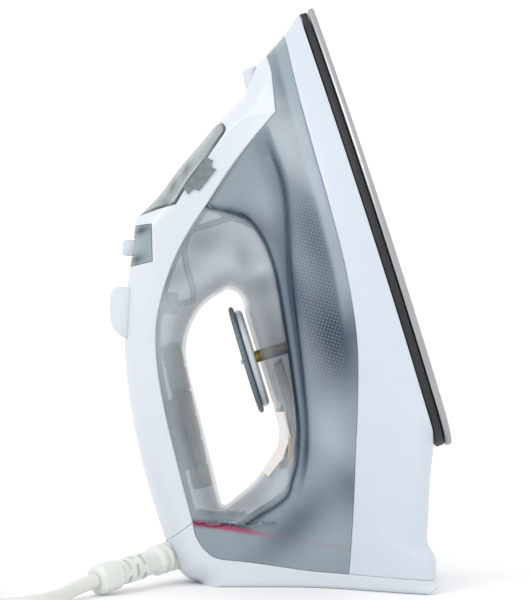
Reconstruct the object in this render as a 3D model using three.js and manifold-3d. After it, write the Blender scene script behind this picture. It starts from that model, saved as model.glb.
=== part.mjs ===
// A steam iron standing on its heel, with its mains cord coiled on the floor beside it.
// Millimetres, +Z up. The origin is the middle of the heel's flat rest face, the soleplate
// faces +X and the handle faces -X.
//
// The iron is drawn upright in its own sole frame and then leaned back onto its heel:
// u runs along the soleplate from its heel end to its tip, v is the height above the
// ironing face, and y runs across.
import * as THREE from "three";
import { mergeVertices } from "three/addons/utils/BufferGeometryUtils.js";
import Module from "manifold-3d";

const wasm = await Module();
wasm.setup();

// ---------------------------------------------------------------- driving dimensions
const SOLE_LENGTH = 225;
const BODY_WIDTH = 115;
const BODY_HEIGHT = 149; // ironing face to the back of the handle
const WALL = 2.4; // every moulded shell
const GAP = 0.3; // between neighbouring pieces
const RUN = 0.5; // running clearance around a moving piece

const SOLE_THICKNESS = 3.5;
const BAND_HEIGHT = 4.1; // heat shield between soleplate and skirt
const CASTING_INSET = 10;
const CASTING_HEIGHT = 8.7;
const ELEMENT_RADIUS = 3.2;
const CHAMBER_PLATE = 1.5;
const STEAM_HOLE_RADIUS = 1.4;

const DIAL_RADIUS = 27.5;
const DIAL_BODY_RADIUS = 25;
const DIAL_BODY_HEIGHT = 3.4;
const DIAL_RING_HEIGHT = 2.6;
const DIAL_CLEARANCE = 1.2; // from the saddle up to the dial's underside
const SPINDLE_RADIUS = 3;
const PASSAGE_WALL = 2.2; // of the tube that takes the spindle through the tank

const BUTTON_WIDTH = 11.4;
const BUTTON_LENGTH = 25;
const BUTTON_STAND = 7.5; // how far a button stands out of the handle
const BUTTON_SKIRT = 6; // and how far it reaches inside
const BUTTON_TRAVEL = 5;
const PUMP_RADIUS = 5.4;
const PISTON_RADIUS = 3.2;
const PISTON_LENGTH = 9;

const KNOB_LENGTH = 8; // along the handle
const KNOB_WIDTH = 9; // across it
const SLIDER_TRAVEL = 12;
const SLIDER_PLATE = 1.6;
const VALVE_ROD_RADIUS = 1.6;

const INLET_RADIUS = 8.4; // outside of the fill tube
const INLET_WALL = 1.6;
const DECK_THICKNESS = 2;
const LID_PIN_RADIUS = 1.2;
const BARREL_RADIUS = 2.7;
const NOZZLE_RADIUS = 4.8;
const LEAD_RADIUS = 1.4;

const BALL_RADIUS = 8; // the cord guard's swivel
const GUARD_LENGTH = 64; // from the ball's middle to the end of the collar
const GUARD_YAW = THREE.MathUtils.degToRad(50);
const GUARD_DROOP = THREE.MathUtils.degToRad(7);
const COLLAR_RADIUS = 7.2;

const CORD_RADIUS = 3.5;
const COIL_MIDDLE = 38.5; // middle turn's radius
const COIL_COLUMNS = 4;
const COIL_LAYERS = 2;
const COIL_CENTRE = [-207, -50];
const COIL_HEIGHT = COIL_LAYERS * 2 * CORD_RADIUS;
const PLUG_RADIUS = 18;
const PLUG_LENGTH = 36;
const PLUG_SLEEVE_LENGTH = 22;
const PIN_SPACING = 19;
const PIN_RADIUS = 2.4;
const PIN_LENGTH = 19;

// The outlines below are drawn at these sizes and stretched to the ones above.
const DRAWN = { length: 225, width: 115, height: 149, edge: 8.2 };
const SKIRT_EDGE = SOLE_THICKNESS + BAND_HEIGHT + 2 * GAP;
const STRETCH_U = SOLE_LENGTH / DRAWN.length;
const STRETCH_Y = BODY_WIDTH / DRAWN.width;
const STRETCH_V = (BODY_HEIGHT - SKIRT_EDGE) / (DRAWN.height - DRAWN.edge);

// ---------------------------------------------------------------- finishes
const finish = (color, roughness, metalness = 0, more = {}) => ({ color, roughness, metalness, ...more });
const FINISHES = {
  white: finish(0xe8edf3, 0.25),
  smoke: finish(0x8d9ca8, 0.2, 0, { transparent: true, opacity: 0.55 }),
  lid: finish(0xa9b6bd, 0.15, 0, { transparent: true, opacity: 0.5 }),
  black: finish(0x2f3334, 0.5),
  steel: finish(0xc3c6c8, 0.3, 0.9),
  aluminium: finish(0xa9adb0, 0.45, 0.9),
  brass: finish(0xb59a55, 0.35, 0.9),
  silver: finish(0xc9ced2, 0.3, 0.3),
  dark: finish(0x7b838a, 0.4),
  milky: finish(0xe6dcd4, 0.2),
  amber: finish(0xd06a3a, 0.3),
  cream: finish(0xe3e2da, 0.4),
  red: finish(0xb05a68, 0.6),
  navy: finish(0x3a4a63, 0.4),
  board: finish(0x5a6468, 0.5),
  cord: finish(0xf0f2ee, 0.5),
};

// ---------------------------------------------------------------- solids
function solidOf(geometry, matrix) {
  const plain = geometry.clone();
  plain.deleteAttribute("normal");
  plain.deleteAttribute("uv");
  const merged = mergeVertices(plain);
  if (matrix) merged.applyMatrix4(matrix);
  const index = merged.index.array;
  const kept = [];
  for (let i = 0; i < index.length; i += 3) {
    const [a, b, c] = index.slice(i, i + 3);
    if (a !== b && b !== c && c !== a) kept.push(a, b, c);
  }
  const mesh = new wasm.Mesh({
    numProp: 3,
    vertProperties: merged.attributes.position.array,
    triVerts: new Uint32Array(kept),
  });
  return new wasm.Manifold(mesh);
}

function geometryOf(solid) {
  const mesh = solid.getMesh();
  const geometry = new THREE.BufferGeometry();
  geometry.setAttribute("position", new THREE.BufferAttribute(mesh.vertProperties, 3));
  geometry.setIndex(new THREE.BufferAttribute(mesh.triVerts, 1));
  geometry.computeVertexNormals();
  return geometry;
}

const cut = (solid, ...tools) => tools.reduce((left, tool) => left.subtract(tool), solid);
const join = (solid, ...others) => others.reduce((all, other) => all.add(other), solid);

const xyz = (x, y, z) => new THREE.Vector3(x, y, z);
const along = (u) => u * STRETCH_U;
const rise = (v) => SKIRT_EDGE + (v - DRAWN.edge) * STRETCH_V;
const at = (u, v, y = 0) => xyz(-v, y, u); // a real place in the sole frame
const drawnAt = (u, v, y = 0) => at(along(u), rise(v), y * STRETCH_Y); // a drawn one

// Extrudes an outline of [u, v] corners across the iron, from y = low to y = high.
const SIDE_ON = new THREE.Matrix4().makeBasis(xyz(0, 0, 1), xyz(-1, 0, 0), xyz(0, -1, 0));
function sideways(outline, low, high) {
  const shape = new THREE.Shape(outline.map(([u, v]) => new THREE.Vector2(u, v)));
  const geometry = new THREE.ExtrudeGeometry(shape, { depth: high - low, bevelEnabled: false });
  return solidOf(geometry.translate(0, 0, -high), SIDE_ON);
}

// Extrudes an outline of [u, y] corners up from the height low to the height high.
const FACE_ON = new THREE.Matrix4().makeBasis(xyz(0, 0, 1), xyz(0, 1, 0), xyz(-1, 0, 0));
function plate(outline, low, high) {
  const shape = new THREE.Shape(outline.map(([u, y]) => new THREE.Vector2(u, y)));
  const geometry = new THREE.ExtrudeGeometry(shape, { depth: high - low, bevelEnabled: false });
  return solidOf(geometry.translate(0, 0, low), FACE_ON);
}

// Turns a profile of [radius, distance] about the line from a point in a direction.
function turned(profile, from, direction, sides = 20) {
  const geometry = new THREE.LatheGeometry(profile.map(([r, t]) => new THREE.Vector2(r, t)), sides);
  const turn = new THREE.Quaternion().setFromUnitVectors(xyz(0, 1, 0), direction.clone().normalize());
  return solidOf(geometry, new THREE.Matrix4().compose(from, turn, xyz(1, 1, 1)));
}

const disc = (radius, low, high) => [[0, low], [radius, low], [radius, high], [0, high]];
const ring = (inside, outside, low, high) => [
  [inside, low], [outside, low], [outside, high], [inside, high], [inside, low],
];

function rod(radius, from, to, sides = 12) {
  const line = to.clone().sub(from);
  return turned(disc(radius, 0, line.length()), from, line, sides);
}

function tube(points, radius, steps, sides = 8) {
  const corners = Array.from({ length: sides }, (_, i) => {
    const angle = (2 * Math.PI * i) / sides;
    return new THREE.Vector2(radius * Math.cos(angle), radius * Math.sin(angle));
  });
  const section = new THREE.Shape(corners);
  const extrudePath = new THREE.CatmullRomCurve3(points, false, "centripetal");
  return solidOf(new THREE.ExtrudeGeometry(section, { steps, extrudePath, bevelEnabled: false }));
}

function block(centre, [x, y, z], turn = new THREE.Quaternion()) {
  return solidOf(new THREE.BoxGeometry(x, y, z), new THREE.Matrix4().compose(centre, turn, xyz(1, 1, 1)));
}

// ---------------------------------------------------------------- side-view curves
// A curve is a list of smooth runs that meet at corners; each run has [u, v] points as
// drawn, and the number of steps that it is walked in.
function trace(runs) {
  const walked = [];
  for (const [points, steps] of runs) {
    const places = points.map(([u, v]) => xyz(along(u), rise(v), 0));
    const curve = new THREE.CatmullRomCurve3(places, false, "centripetal");
    walked.push(...curve.getSpacedPoints(steps).slice(walked.length ? 1 : 0));
  }
  return walked.map((p) => new THREE.Vector2(p.x, p.y));
}

const SKIRT_TOP = [
  [[216.5, 18.3], [189, 20.7], [156, 22.4], [126, 23.4], [93, 25.4], [62, 30], [35, 37.7], [12, 45.5]],
  [[12, 45.5], [-11, 53.2], [-34.3, 61.5], [-46, 66]],
];
const SKIRT_NOSE = [224.5, DRAWN.edge];
const SKIRT_HEEL = [8, DRAWN.edge];
const SKIRT_BACK = [
  SKIRT_HEEL, [2, 10.1], [-11.4, 15.5], [-29.4, 21.8], [-41, 25.4], [-49, 24], [-58.8, 26.7],
];
const NOSE_UNDER_COVER = [[209.4, 29.9], [200, 30], [192.6, 31.4], [179, 34.1]];
const NOSE_OVER_TANK = [[179, 34.1], [168.6, 50.5], [159.5, 63.4], [145, 80.7]];
const HANDLE_SEAM = [
  [145, 80.7], [135.2, 64.5], [121.9, 58.8], [105, 57.6], [88, 59.4], [57, 63.8], [28.2, 69.1], [12, 75],
];
const HEEL_CORNER = [12, 75];
const SEAM_TURN = [-10, 107.5];
const SEAM_END = [-0.8, 131.5];
const SEAM_BEHIND = [HEEL_CORNER, [5.4, 79], [-1.9, 84.2], SEAM_TURN];
const COVER_EDGE = [
  SEAM_END, [25.5, 130.4], [55.7, 128.5], [80.2, 125.1], [98.9, 119.4], [122.5, 104.5], [136.4, 91.1],
  [145, 80.7],
];
const NOSE_RIDGE = [[208.6, 31.2], [204.8, 37], [192.6, 46.9]];
const LID_RIDGE = [[192.6, 46.9], [185.7, 60.1], [176.5, 74.5], [168.4, 87.4], [158.4, 100.9], [150, 116]];
const HANDLE_BACK = [
  [150, 116], [130.6, 124.5], [117.8, 130.5], [89.4, 140.2], [60.8, 145.8], [24, 148.7], [-7.4, 148.5],
];
const HEEL_BACK = [[-7.4, 148.5], [-15.4, 148.2], [-22.1, 146.7], [-28, 143.5], [-32, 138.2]];
const HEEL_FLAT = [[-32, 138.2], [-64.4, 32.2]];
const HEEL_FRONT = [[-64.4, 32.2], [-62.1, 27.8]];
const REAR_SEAM = [
  [SEAM_END, [-7.3, 131.9], [-13.9, 130.4], [-19.5, 127], [-22.3, 123.2]],
  [[-22.3, 123.2], [-27.6, 110.5], [-39.9, 83.6], [-46, 66]],
  [[-46, 66], [-58.8, 26.7]],
];
const SADDLE = 77.5; // the height of the flat under the dial, as drawn
const OPENING = [
  [[103.5, 82.5], [100.5, 78.5], [95, 76.8], [88, SADDLE], [40, SADDLE], [28, 78.5], [20.8, 81.7]],
  [[20.8, 81.7], [8.2, 97], [2.5, 110]],
  [[2.5, 110], [0.7, 114.5], [1.6, 116.2], [6, 116.2]],
  [[6, 116.2], [38.7, 114.5], [69.5, 112.8], [81.5, 110.8], [92.1, 104.4], [99.7, 95.2], [103.5, 82.5]],
];

const [SKIRT_TOP_FRONT, SKIRT_TOP_REAR] = SKIRT_TOP;
const RIDGE_LINE = trace([[NOSE_RIDGE, 4], [LID_RIDGE, 8], [HANDLE_BACK, 20], [HEEL_BACK, 6]]);
const OPENING_STEPS = [16, 6, 5, 20];
const OPENING_LINE = trace(OPENING.map((run, i) => [run, OPENING_STEPS[i]])).slice(0, -1);
const BACK_LINE = trace([[SKIRT_BACK, 12]]);
const FLAT_LINE = trace([[HEEL_FLAT, 1]]);

function distanceTo(line, point, closed = false) {
  let nearest = Infinity;
  const count = closed ? line.length : line.length - 1;
  for (let i = 0; i < count; i += 1) {
    const start = line[i];
    const step = line[(i + 1) % line.length].clone().sub(start);
    const share = THREE.MathUtils.clamp(point.clone().sub(start).dot(step) / step.lengthSq(), 0, 1);
    nearest = Math.min(nearest, point.distanceTo(start.clone().addScaledVector(step, share)));
  }
  return nearest;
}

// ---------------------------------------------------------------- the body's form
// Half the sole's width at u: nearly straight behind the middle, then a power curve to the tip.
function soleHalfWidth(u) {
  const drawn = u / STRETCH_U;
  const behind = 57.5 - 7.5 * ((50 - drawn) / 115) ** 2;
  const ahead = 57.5 * (1 - (Math.max(drawn - 50, 0) / 176) ** 1.9);
  return STRETCH_Y * Math.max(drawn < 50 ? behind : ahead, 0);
}

// Takes an elliptical fillet off a half width near an edge: depth in from it, width across it.
function filleted(half, distance, depth, width) {
  const left = 1 - Math.min(distance / depth, 1);
  return half - Math.min(width, half - 1) * (1 - Math.sqrt(1 - left * left));
}

// Half the body's width at a place in the side view.
function bodyHalfWidth(point) {
  const [u, v] = [point.x, point.y];
  const drawnV = DRAWN.edge + (v - SKIRT_EDGE) / STRETCH_V;
  const sole = soleHalfWidth(u);
  const swept = sole * (1 - 0.66 * THREE.MathUtils.smoothstep(drawnV, 14, 102));
  const grip = Math.min(20 * STRETCH_Y, 0.8 * sole);
  const whole = (swept + grip + Math.hypot(swept - grip, 6)) / 2;
  const ahead = THREE.MathUtils.smoothstep(u / STRETCH_U, 120, 170);
  const ridge = filleted(whole, distanceTo(RIDGE_LINE, point), 14 - 5 * ahead, whole - 2.5 + 1.5 * ahead);
  const { smoothstep } = THREE.MathUtils;
  const onSaddle = smoothstep(u, along(16), along(34)) * (1 - smoothstep(u, along(90), along(108)))
    * (1 - smoothstep(drawnV, 76, 92));
  const opening = distanceTo(OPENING_LINE, point, true);
  const grasp = filleted(whole, opening, 12 - 6 * onSaddle, whole - 3 - onSaddle);
  const back = filleted(whole, distanceTo(BACK_LINE, point), 10, 9);
  const heel = filleted(whole, distanceTo(FLAT_LINE, point), 2.5, 2.5);
  return Math.max(1.2, Math.min(ridge, grasp, back, heel));
}

// Moves each side of a closed outline inwards by its own distance.
function inset(loop, distances) {
  const size = loop.length;
  const area = loop.reduce((sum, p, i) => sum + p.cross(loop[(i + 1) % size]), 0);
  const inwards = (i) => {
    const step = loop[(i + 1) % size].clone().sub(loop[i]).normalize();
    return new THREE.Vector2(-step.y, step.x).multiplyScalar(Math.sign(area));
  };
  return loop.map((p, i) => {
    const before = (i + size - 1) % size;
    const [n0, n1, d0, d1] = [inwards(before), inwards(i), distances[before], distances[i]];
    const spread = n0.cross(n1);
    if (Math.abs(spread) < 0.08) {
      return p.clone().addScaledVector(n0.clone().add(n1).normalize(), (d0 + d1) / 2);
    }
    const miter = new THREE.Vector2(d0 * n1.y - d1 * n0.y, d1 * n0.x - d0 * n1.x);
    return p.clone().add(miter.divideScalar(spread));
  });
}

// A closed solid between y = -h and y = +h over a grid of side-view places, where h is the
// body's half width less a wall. In a looped grid the last row meets the first.
function formOver(rows, wall, looped = false) {
  const across = rows[0].length;
  const places = rows.flat();
  const positions = [1, -1].flatMap((side) => places.flatMap((p) => {
    const half = Math.max(bodyHalfWidth(p) - wall, 0.4);
    return [-p.y, side * half, p.x];
  }));
  const far = places.length;
  const index = [];
  const quad = (a, b, c, d) => index.push(a, b, c, a, c, d);
  const last = looped ? rows.length : rows.length - 1;
  for (let j = 0; j < last; j += 1) {
    const [here, next] = [j * across, ((j + 1) % rows.length) * across];
    for (let i = 0; i + 1 < across; i += 1) {
      quad(here + i, here + i + 1, next + i + 1, next + i);
      quad(far + here + i, far + next + i, far + next + i + 1, far + here + i + 1);
    }
    const end = across - 1;
    quad(here, next, far + next, far + here);
    quad(here + end, far + here + end, far + next + end, next + end);
  }
  if (!looped) {
    const end = (rows.length - 1) * across;
    for (let i = 0; i + 1 < across; i += 1) {
      quad(i, far + i, far + i + 1, i + 1);
      quad(end + i, end + i + 1, far + end + i + 1, far + end + i);
    }
  }
  const geometry = new THREE.BufferGeometry();
  geometry.setAttribute("position", new THREE.Float32BufferAttribute(positions, 3));
  geometry.setIndex(index);
  const solid = solidOf(geometry);
  if (solid.volume() > 0) return solid;
  geometry.setIndex(index.map((_, i) => index[3 * Math.floor(i / 3) + 2 - (i % 3)]));
  return solidOf(geometry);
}

// The places at the given shares of a line's length.
function pointsAlong(line, shares) {
  const steps = line.slice(1).map((p, i) => p.distanceTo(line[i]));
  const whole = steps.reduce((sum, step) => sum + step, 0);
  return shares.map((share) => {
    let left = share * whole;
    let i = 0;
    while (i + 1 < steps.length && left > steps[i]) {
      left -= steps[i];
      i += 1;
    }
    return line[i].clone().lerp(line[i + 1], Math.min(left / steps[i], 1));
  });
}

// A strip of the body between side-view curve a and curve b, with optional curved ends.
// margins holds how far in from a, b, start and end it stays; a list gives one per edge.
function strip({ a, b, start, end }, shares, margins, wall) {
  const [first, last] = [start ?? [a[0], b[0]], end ?? [a.at(-1), b.at(-1)]];
  const [head, tail] = [pointsAlong(first, shares), pointsAlong(last, shares)];
  const [n, m] = [a.length - 1, shares.length - 1];
  const each = (margin, count) => (Array.isArray(margin) ? margin : Array(count).fill(margin));
  const loop = [...a, ...tail.slice(1, m), ...b.toReversed(), ...head.slice(1, m).toReversed()];
  const distances = [
    ...each(margins.a, n), ...each(margins.end, m),
    ...each(margins.b, n).toReversed(), ...each(margins.start, m),
  ];
  const moved = inset(loop, distances);
  const edgeA = moved.slice(0, n + 1);
  const edgeEnd = [moved[n], ...moved.slice(n + 1, n + m), moved[n + m]];
  const edgeB = moved.slice(n + m, 2 * n + m + 1).toReversed();
  const edgeStart = [moved[0], ...moved.slice(2 * n + m + 1).toReversed(), edgeB[0]];
  const rows = edgeA.map((_, j) => shares.map((s, i) => {
    const t = j / n;
    const ruled = edgeA[j].clone().lerp(edgeB[j], s);
    const ends = edgeStart[i].clone().lerp(edgeEnd[i], t);
    const corners = edgeA[0].clone().lerp(edgeB[0], s).lerp(edgeA[n].clone().lerp(edgeB[n], s), t);
    return ruled.add(ends).sub(corners);
  }));
  return formOver(rows, wall);
}

// A ring of the body between a closed outer curve and a closed inner one.
function loopStrip(outer, inner, shares, outerMargins, innerMargin, wall) {
  const edgeOuter = inset(outer, outerMargins);
  const edgeInner = inset(inner, inner.map(() => -innerMargin));
  const rows = edgeOuter.map((p, j) => shares.map((s) => p.clone().lerp(edgeInner[j], s)));
  return formOver(rows, wall, true);
}

const EVEN = [0, 0.25, 0.5, 0.75, 1];
const COARSE = [0, 0.33, 0.67, 1];
const TO_RIDGE = [0, 0.4, 0.7, 0.87, 0.96, 1];
const TO_RIDGE_COARSE = [0, 0.5, 0.85, 1];
const HALF_GAP = GAP / 2;
const OPEN = -1; // a cavity runs this far out through an open side

// ---------------------------------------------------------------- the five shells
const SEAMED = { a: HALF_GAP, b: HALF_GAP, start: HALF_GAP, end: HALF_GAP };

function skirtShell() {
  const a = trace([[SKIRT_TOP_FRONT, 14], [SKIRT_TOP_REAR, 7]]);
  const b = trace([[[SKIRT_NOSE, SKIRT_HEEL], 14], [SKIRT_BACK, 7]]);
  const outside = strip({ a, b }, TO_RIDGE, { ...SEAMED, b: 0, start: 0 }, 0);
  const walls = [...Array(13).fill(OPEN), ...Array(7).fill(WALL)];
  const inner = { a: a.slice(1), b: b.slice(1) };
  const cavity = strip(inner, COARSE, { a: WALL, b: walls, start: 0, end: OPEN }, WALL);
  return cut(outside, cavity);
}

function tankSides() {
  const a = trace([[SKIRT_TOP_FRONT, 16], [SKIRT_TOP_REAR, 15]]);
  const b = trace([
    [NOSE_UNDER_COVER, 3], [NOSE_OVER_TANK, 5], [HANDLE_SEAM, 12], [SEAM_BEHIND, 4],
    [[SEAM_TURN, SEAM_END], 2], [REAR_SEAM[0], 5],
  ]);
  const end = trace([[REAR_SEAM[1], 5]]).toReversed();
  return { a, b, end };
}

function rearShell() {
  const a = trace([[REAR_SEAM[0], 5], [REAR_SEAM[1], 5], [REAR_SEAM[2], 3]]);
  const b = trace([[HEEL_BACK, 5], [HEEL_FLAT, 7], [HEEL_FRONT, 1]]);
  const outside = strip({ a, b }, COARSE, { ...SEAMED, b: 0, end: 0 }, 0);
  const cavity = strip({ a, b }, COARSE, { a: OPEN, b: WALL, start: OPEN, end: WALL }, WALL);
  return cut(outside, cavity);
}

function coverShell() {
  const a = trace([[NOSE_UNDER_COVER, 3], [NOSE_OVER_TANK, 5], [COVER_EDGE.toReversed(), 16]]);
  const b = trace([[NOSE_RIDGE, 3], [LID_RIDGE, 5], [HANDLE_BACK, 16]]);
  const outside = strip({ a, b }, TO_RIDGE, { ...SEAMED, b: 0, start: 0 }, 0);
  const inner = { a: a.slice(2), b: b.slice(2) };
  const cavity = strip(inner, TO_RIDGE_COARSE, { a: OPEN, b: WALL, start: 0, end: OPEN }, WALL);
  return cut(outside, cavity);
}

function handleShell() {
  const closed = (line) => line.slice(0, -1);
  const outer = closed(trace([
    [HANDLE_SEAM, 12], [SEAM_BEHIND, 4], [[SEAM_TURN, SEAM_END], 2], [COVER_EDGE, 16],
  ]));
  const inner = closed(trace([[OPENING[0], 12], [OPENING[1], 4], [OPENING[2], 2], [OPENING[3], 16]]));
  const seams = outer.map(() => HALF_GAP);
  const walls = outer.map((_, i) => (i < 18 ? WALL : OPEN));
  const outside = loopStrip(outer, inner, TO_RIDGE, seams, 0, 0);
  const cavity = loopStrip(outer, inner, TO_RIDGE_COARSE, walls, WALL, WALL);
  return cut(outside, cavity);
}

// ---------------------------------------------------------------- assembly
const iron = new THREE.Group(); // upright, in the sole frame
const floor = new THREE.Group(); // what lies on the floor, in the standing frame
const group = new THREE.Group();
group.add(iron, floor);

function piece(name, finishName, solid, parent = iron) {
  const mesh = new THREE.Mesh(geometryOf(solid), new THREE.MeshStandardMaterial(FINISHES[finishName]));
  mesh.name = name;
  parent.add(mesh);
}

// The lean that lays the heel's flat on the floor, and the move that centres it there.
const [flatBack, flatFront] = HEEL_FLAT.map(([u, v]) => drawnAt(u, v));
const LEAN = Math.atan2(flatBack.z - flatFront.z, flatFront.x - flatBack.x);
iron.rotation.y = -LEAN;
iron.position.copy(flatBack.clone().add(flatFront).multiplyScalar(-0.5).applyEuler(iron.rotation));
iron.updateMatrix();
const standing = (place) => place.clone().applyMatrix4(iron.matrix);
const inSoleFrame = (solid) => solid.transform(iron.matrix.clone().invert().toArray());

const UP = at(0, 1); // away from the ironing face
const TOE = at(1, 0); // towards the sole's tip
const RIGHT = xyz(0, 1, 0);
const moved = (place, ...steps) => (
  steps.reduce((p, [line, far]) => p.addScaledVector(line, far), place.clone()));

// ---------------------------------------------------------------- sole, heater and steam chamber
const CORNER = 22; // of the soleplate's heel end, seen from below

// The sole's outline at a margin inside its edge, from u = from to as near the tip as it fits.
function soleOutline(margin, from = 0) {
  let to = SOLE_LENGTH;
  while (soleHalfWidth(to) < margin + 0.5) to -= 0.5;
  const shares = [0, 0.15, 0.35, 0.65, 1];
  const stations = [
    ...shares.map((share) => from + share * CORNER),
    ...Array.from({ length: 12 }, (_, i) => from + CORNER + ((to - from - CORNER) * (i + 1)) / 12),
  ];
  const half = stations.map((u) => {
    const left = 1 - Math.min((u - from) / CORNER, 1);
    return soleHalfWidth(u) - margin - CORNER * (1 - Math.sqrt(1 - left * left));
  });
  const side = stations.map((u, i) => [u, half[i]]);
  return [...side, ...side.toReversed().map(([u, y]) => [u, -y])];
}

const CASTING_LOW = SOLE_THICKNESS + GAP;
const CASTING_TOP = CASTING_LOW + CASTING_HEIGHT;
const PLATE_TOP = CASTING_TOP + GAP + CHAMBER_PLATE;
const CASTING_HEEL = along(10);
const chamber = (margin) => [
  [along(66) - margin, -15], [along(150), -11], [along(160) + margin, 0],
  [along(150), 11], [along(66) - margin, 15],
].map(([u, y]) => [u, Math.sign(y) * (Math.abs(y * STRETCH_Y) + margin)]);

function soleplate() {
  const holes = [];
  for (let u = along(196); u > along(58); u -= 17 * STRETCH_U) {
    const y = soleHalfWidth(u) - Math.min(13, 0.45 * soleHalfWidth(u));
    for (const side of [1, -1]) {
      holes.push(rod(STEAM_HOLE_RADIUS, at(u, -1, side * y), at(u, SOLE_THICKNESS + 1, side * y), 8));
    }
  }
  return cut(plate(soleOutline(0), 0, SOLE_THICKNESS), ...holes);
}

const elementPath = [[9, 22], [30, 27], [70, 31], [115, 27], [150, 19.5], [170, 9.5]];
const elementPlaces = [...elementPath, [175, 0], ...elementPath.toReversed().map(([u, y]) => [u, -y])]
  .map(([u, y]) => drawnAt(u, 0, y).setX(-CASTING_TOP));
const groove = tube(elementPlaces, ELEMENT_RADIUS + GAP, 26, 8);
const screwPlaces = [[82, 0], [146, 0]].map(([u, y]) => drawnAt(u, 0, y).setX(-CASTING_TOP));
const SCREW_RADIUS = 1.5;
const SCREW_DEPTH = 2.2; // into the casting
const steamWell = plate(chamber(-4.5), CASTING_LOW + SCREW_DEPTH + 1.5, CASTING_TOP + 1);
const screwPosts = screwPlaces.map((p) => rod(SCREW_RADIUS + 1.5, moved(p, [UP, -5.5]), p));
const screwHoles = screwPlaces.map((p) => (
  rod(SCREW_RADIUS + GAP, moved(p, [UP, -SCREW_DEPTH - 0.5]), moved(p, [UP, 4]))
));

piece("soleplate", "steel", soleplate());
piece("heat_shield", "black", cut(
  plate(soleOutline(1), CASTING_LOW, CASTING_LOW + BAND_HEIGHT),
  plate(soleOutline(CASTING_INSET - 1, CASTING_HEEL - 1), 0, CASTING_TOP),
));
const castingBlock = plate(soleOutline(CASTING_INSET, CASTING_HEEL), CASTING_LOW, CASTING_TOP);
const casting = join(cut(castingBlock, steamWell), ...screwPosts);
piece("soleplate_casting", "aluminium", cut(casting, groove, ...screwHoles));
piece("heating_element", "steel", tube(elementPlaces, ELEMENT_RADIUS, 26, 8));
for (const [name, side] of [["left", 1], ["right", -1]]) {
  const end = elementPlaces[0].clone().setY(side * elementPlaces[0].y);
  piece(`element_pin_${name}`, "steel", rod(
    1.5, moved(end, [TOE, 3.5], [UP, ELEMENT_RADIUS + GAP]), moved(end, [TOE, 3.5], [UP, 12]), 8,
  ));
}
piece("chamber_plate", "steel", cut(plate(chamber(0), CASTING_TOP + GAP, PLATE_TOP), ...screwHoles));
screwPlaces.forEach((p, i) => {
  const seat = moved(p, [UP, PLATE_TOP - CASTING_TOP + GAP]);
  const shank = PLATE_TOP - CASTING_TOP + GAP + SCREW_DEPTH;
  const profile = [[0, -shank], [SCREW_RADIUS, -shank], [SCREW_RADIUS, 0], [2.8, 0], [2.8, 1.6], [0, 1.6]];
  piece(`chamber_screw_${i + 1}`, "steel", turned(profile, seat, UP, 10));
});

// ---------------------------------------------------------------- temperature dial and thermostat
const DIAL_U = along(67);
const SADDLE_V = rise(SADDLE);
const dialSeat = at(DIAL_U, SADDLE_V + DIAL_CLEARANCE);
const SPINDLE_FOOT = PLATE_TOP + 4.5;
const spindleBore = (radius, low, high) => rod(radius, at(DIAL_U, low), at(DIAL_U, high), 16);
const spindleHole = spindleBore(SPINDLE_RADIUS + RUN, SPINDLE_FOOT, SADDLE_V + 1);
const SPINDLE_HEAD = 2.2; // how far it reaches up into the dial

const dialBody = turned([
  [0, 0], [DIAL_BODY_RADIUS - 1, 0], [DIAL_BODY_RADIUS, 1], [DIAL_BODY_RADIUS, DIAL_BODY_HEIGHT],
  [0, DIAL_BODY_HEIGHT],
], dialSeat, UP, 36);
piece("temperature_dial", "silver", cut(dialBody, spindleBore(
  SPINDLE_RADIUS + GAP, SADDLE_V, SADDLE_V + DIAL_CLEARANCE + SPINDLE_HEAD + GAP,
)));
const ringSeat = moved(dialSeat, [UP, DIAL_BODY_HEIGHT + GAP]);
piece("dial_grip_ring", "dark", turned([
  [0, 0], [DIAL_RADIUS - 0.8, 0], [DIAL_RADIUS, 0.8], [DIAL_RADIUS, DIAL_RING_HEIGHT - 1],
  [DIAL_RADIUS - 1.2, DIAL_RING_HEIGHT], [0, DIAL_RING_HEIGHT],
], ringSeat, UP, 36));
piece("dial_pointer", "white", block(
  moved(ringSeat, [UP, DIAL_RING_HEIGHT + GAP + 0.5], [RIGHT, -0.62 * DIAL_RADIUS]), [1, 9, 2.2],
));
piece("dial_spindle", "brass", rod(
  SPINDLE_RADIUS, at(DIAL_U, SPINDLE_FOOT + 0.8), moved(dialSeat, [UP, SPINDLE_HEAD]), 16,
));
const thermostatFoot = at(DIAL_U, PLATE_TOP + GAP);
const thermostatBase = block(moved(thermostatFoot, [UP, 2]), [4, 14, 18]);
const thermostatNeck = rod(5.6, moved(thermostatFoot, [UP, 3]), moved(thermostatFoot, [UP, 6.4]), 16);
piece("thermostat", "cream", cut(join(thermostatBase, thermostatNeck), spindleHole));
piece("thermostat_blade", "brass", block(
  moved(thermostatFoot, [UP, 2], [TOE, 9 + GAP + 8], [RIGHT, 7]), [0.8, 6, 16],
));
const fusePlace = drawnAt(110, 0, 0).setX(-PLATE_TOP - GAP - 2.2);
piece("thermal_fuse", "cream", rod(2.2, moved(fusePlace, [TOE, -8]), moved(fusePlace, [TOE, 8]), 10));

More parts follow.
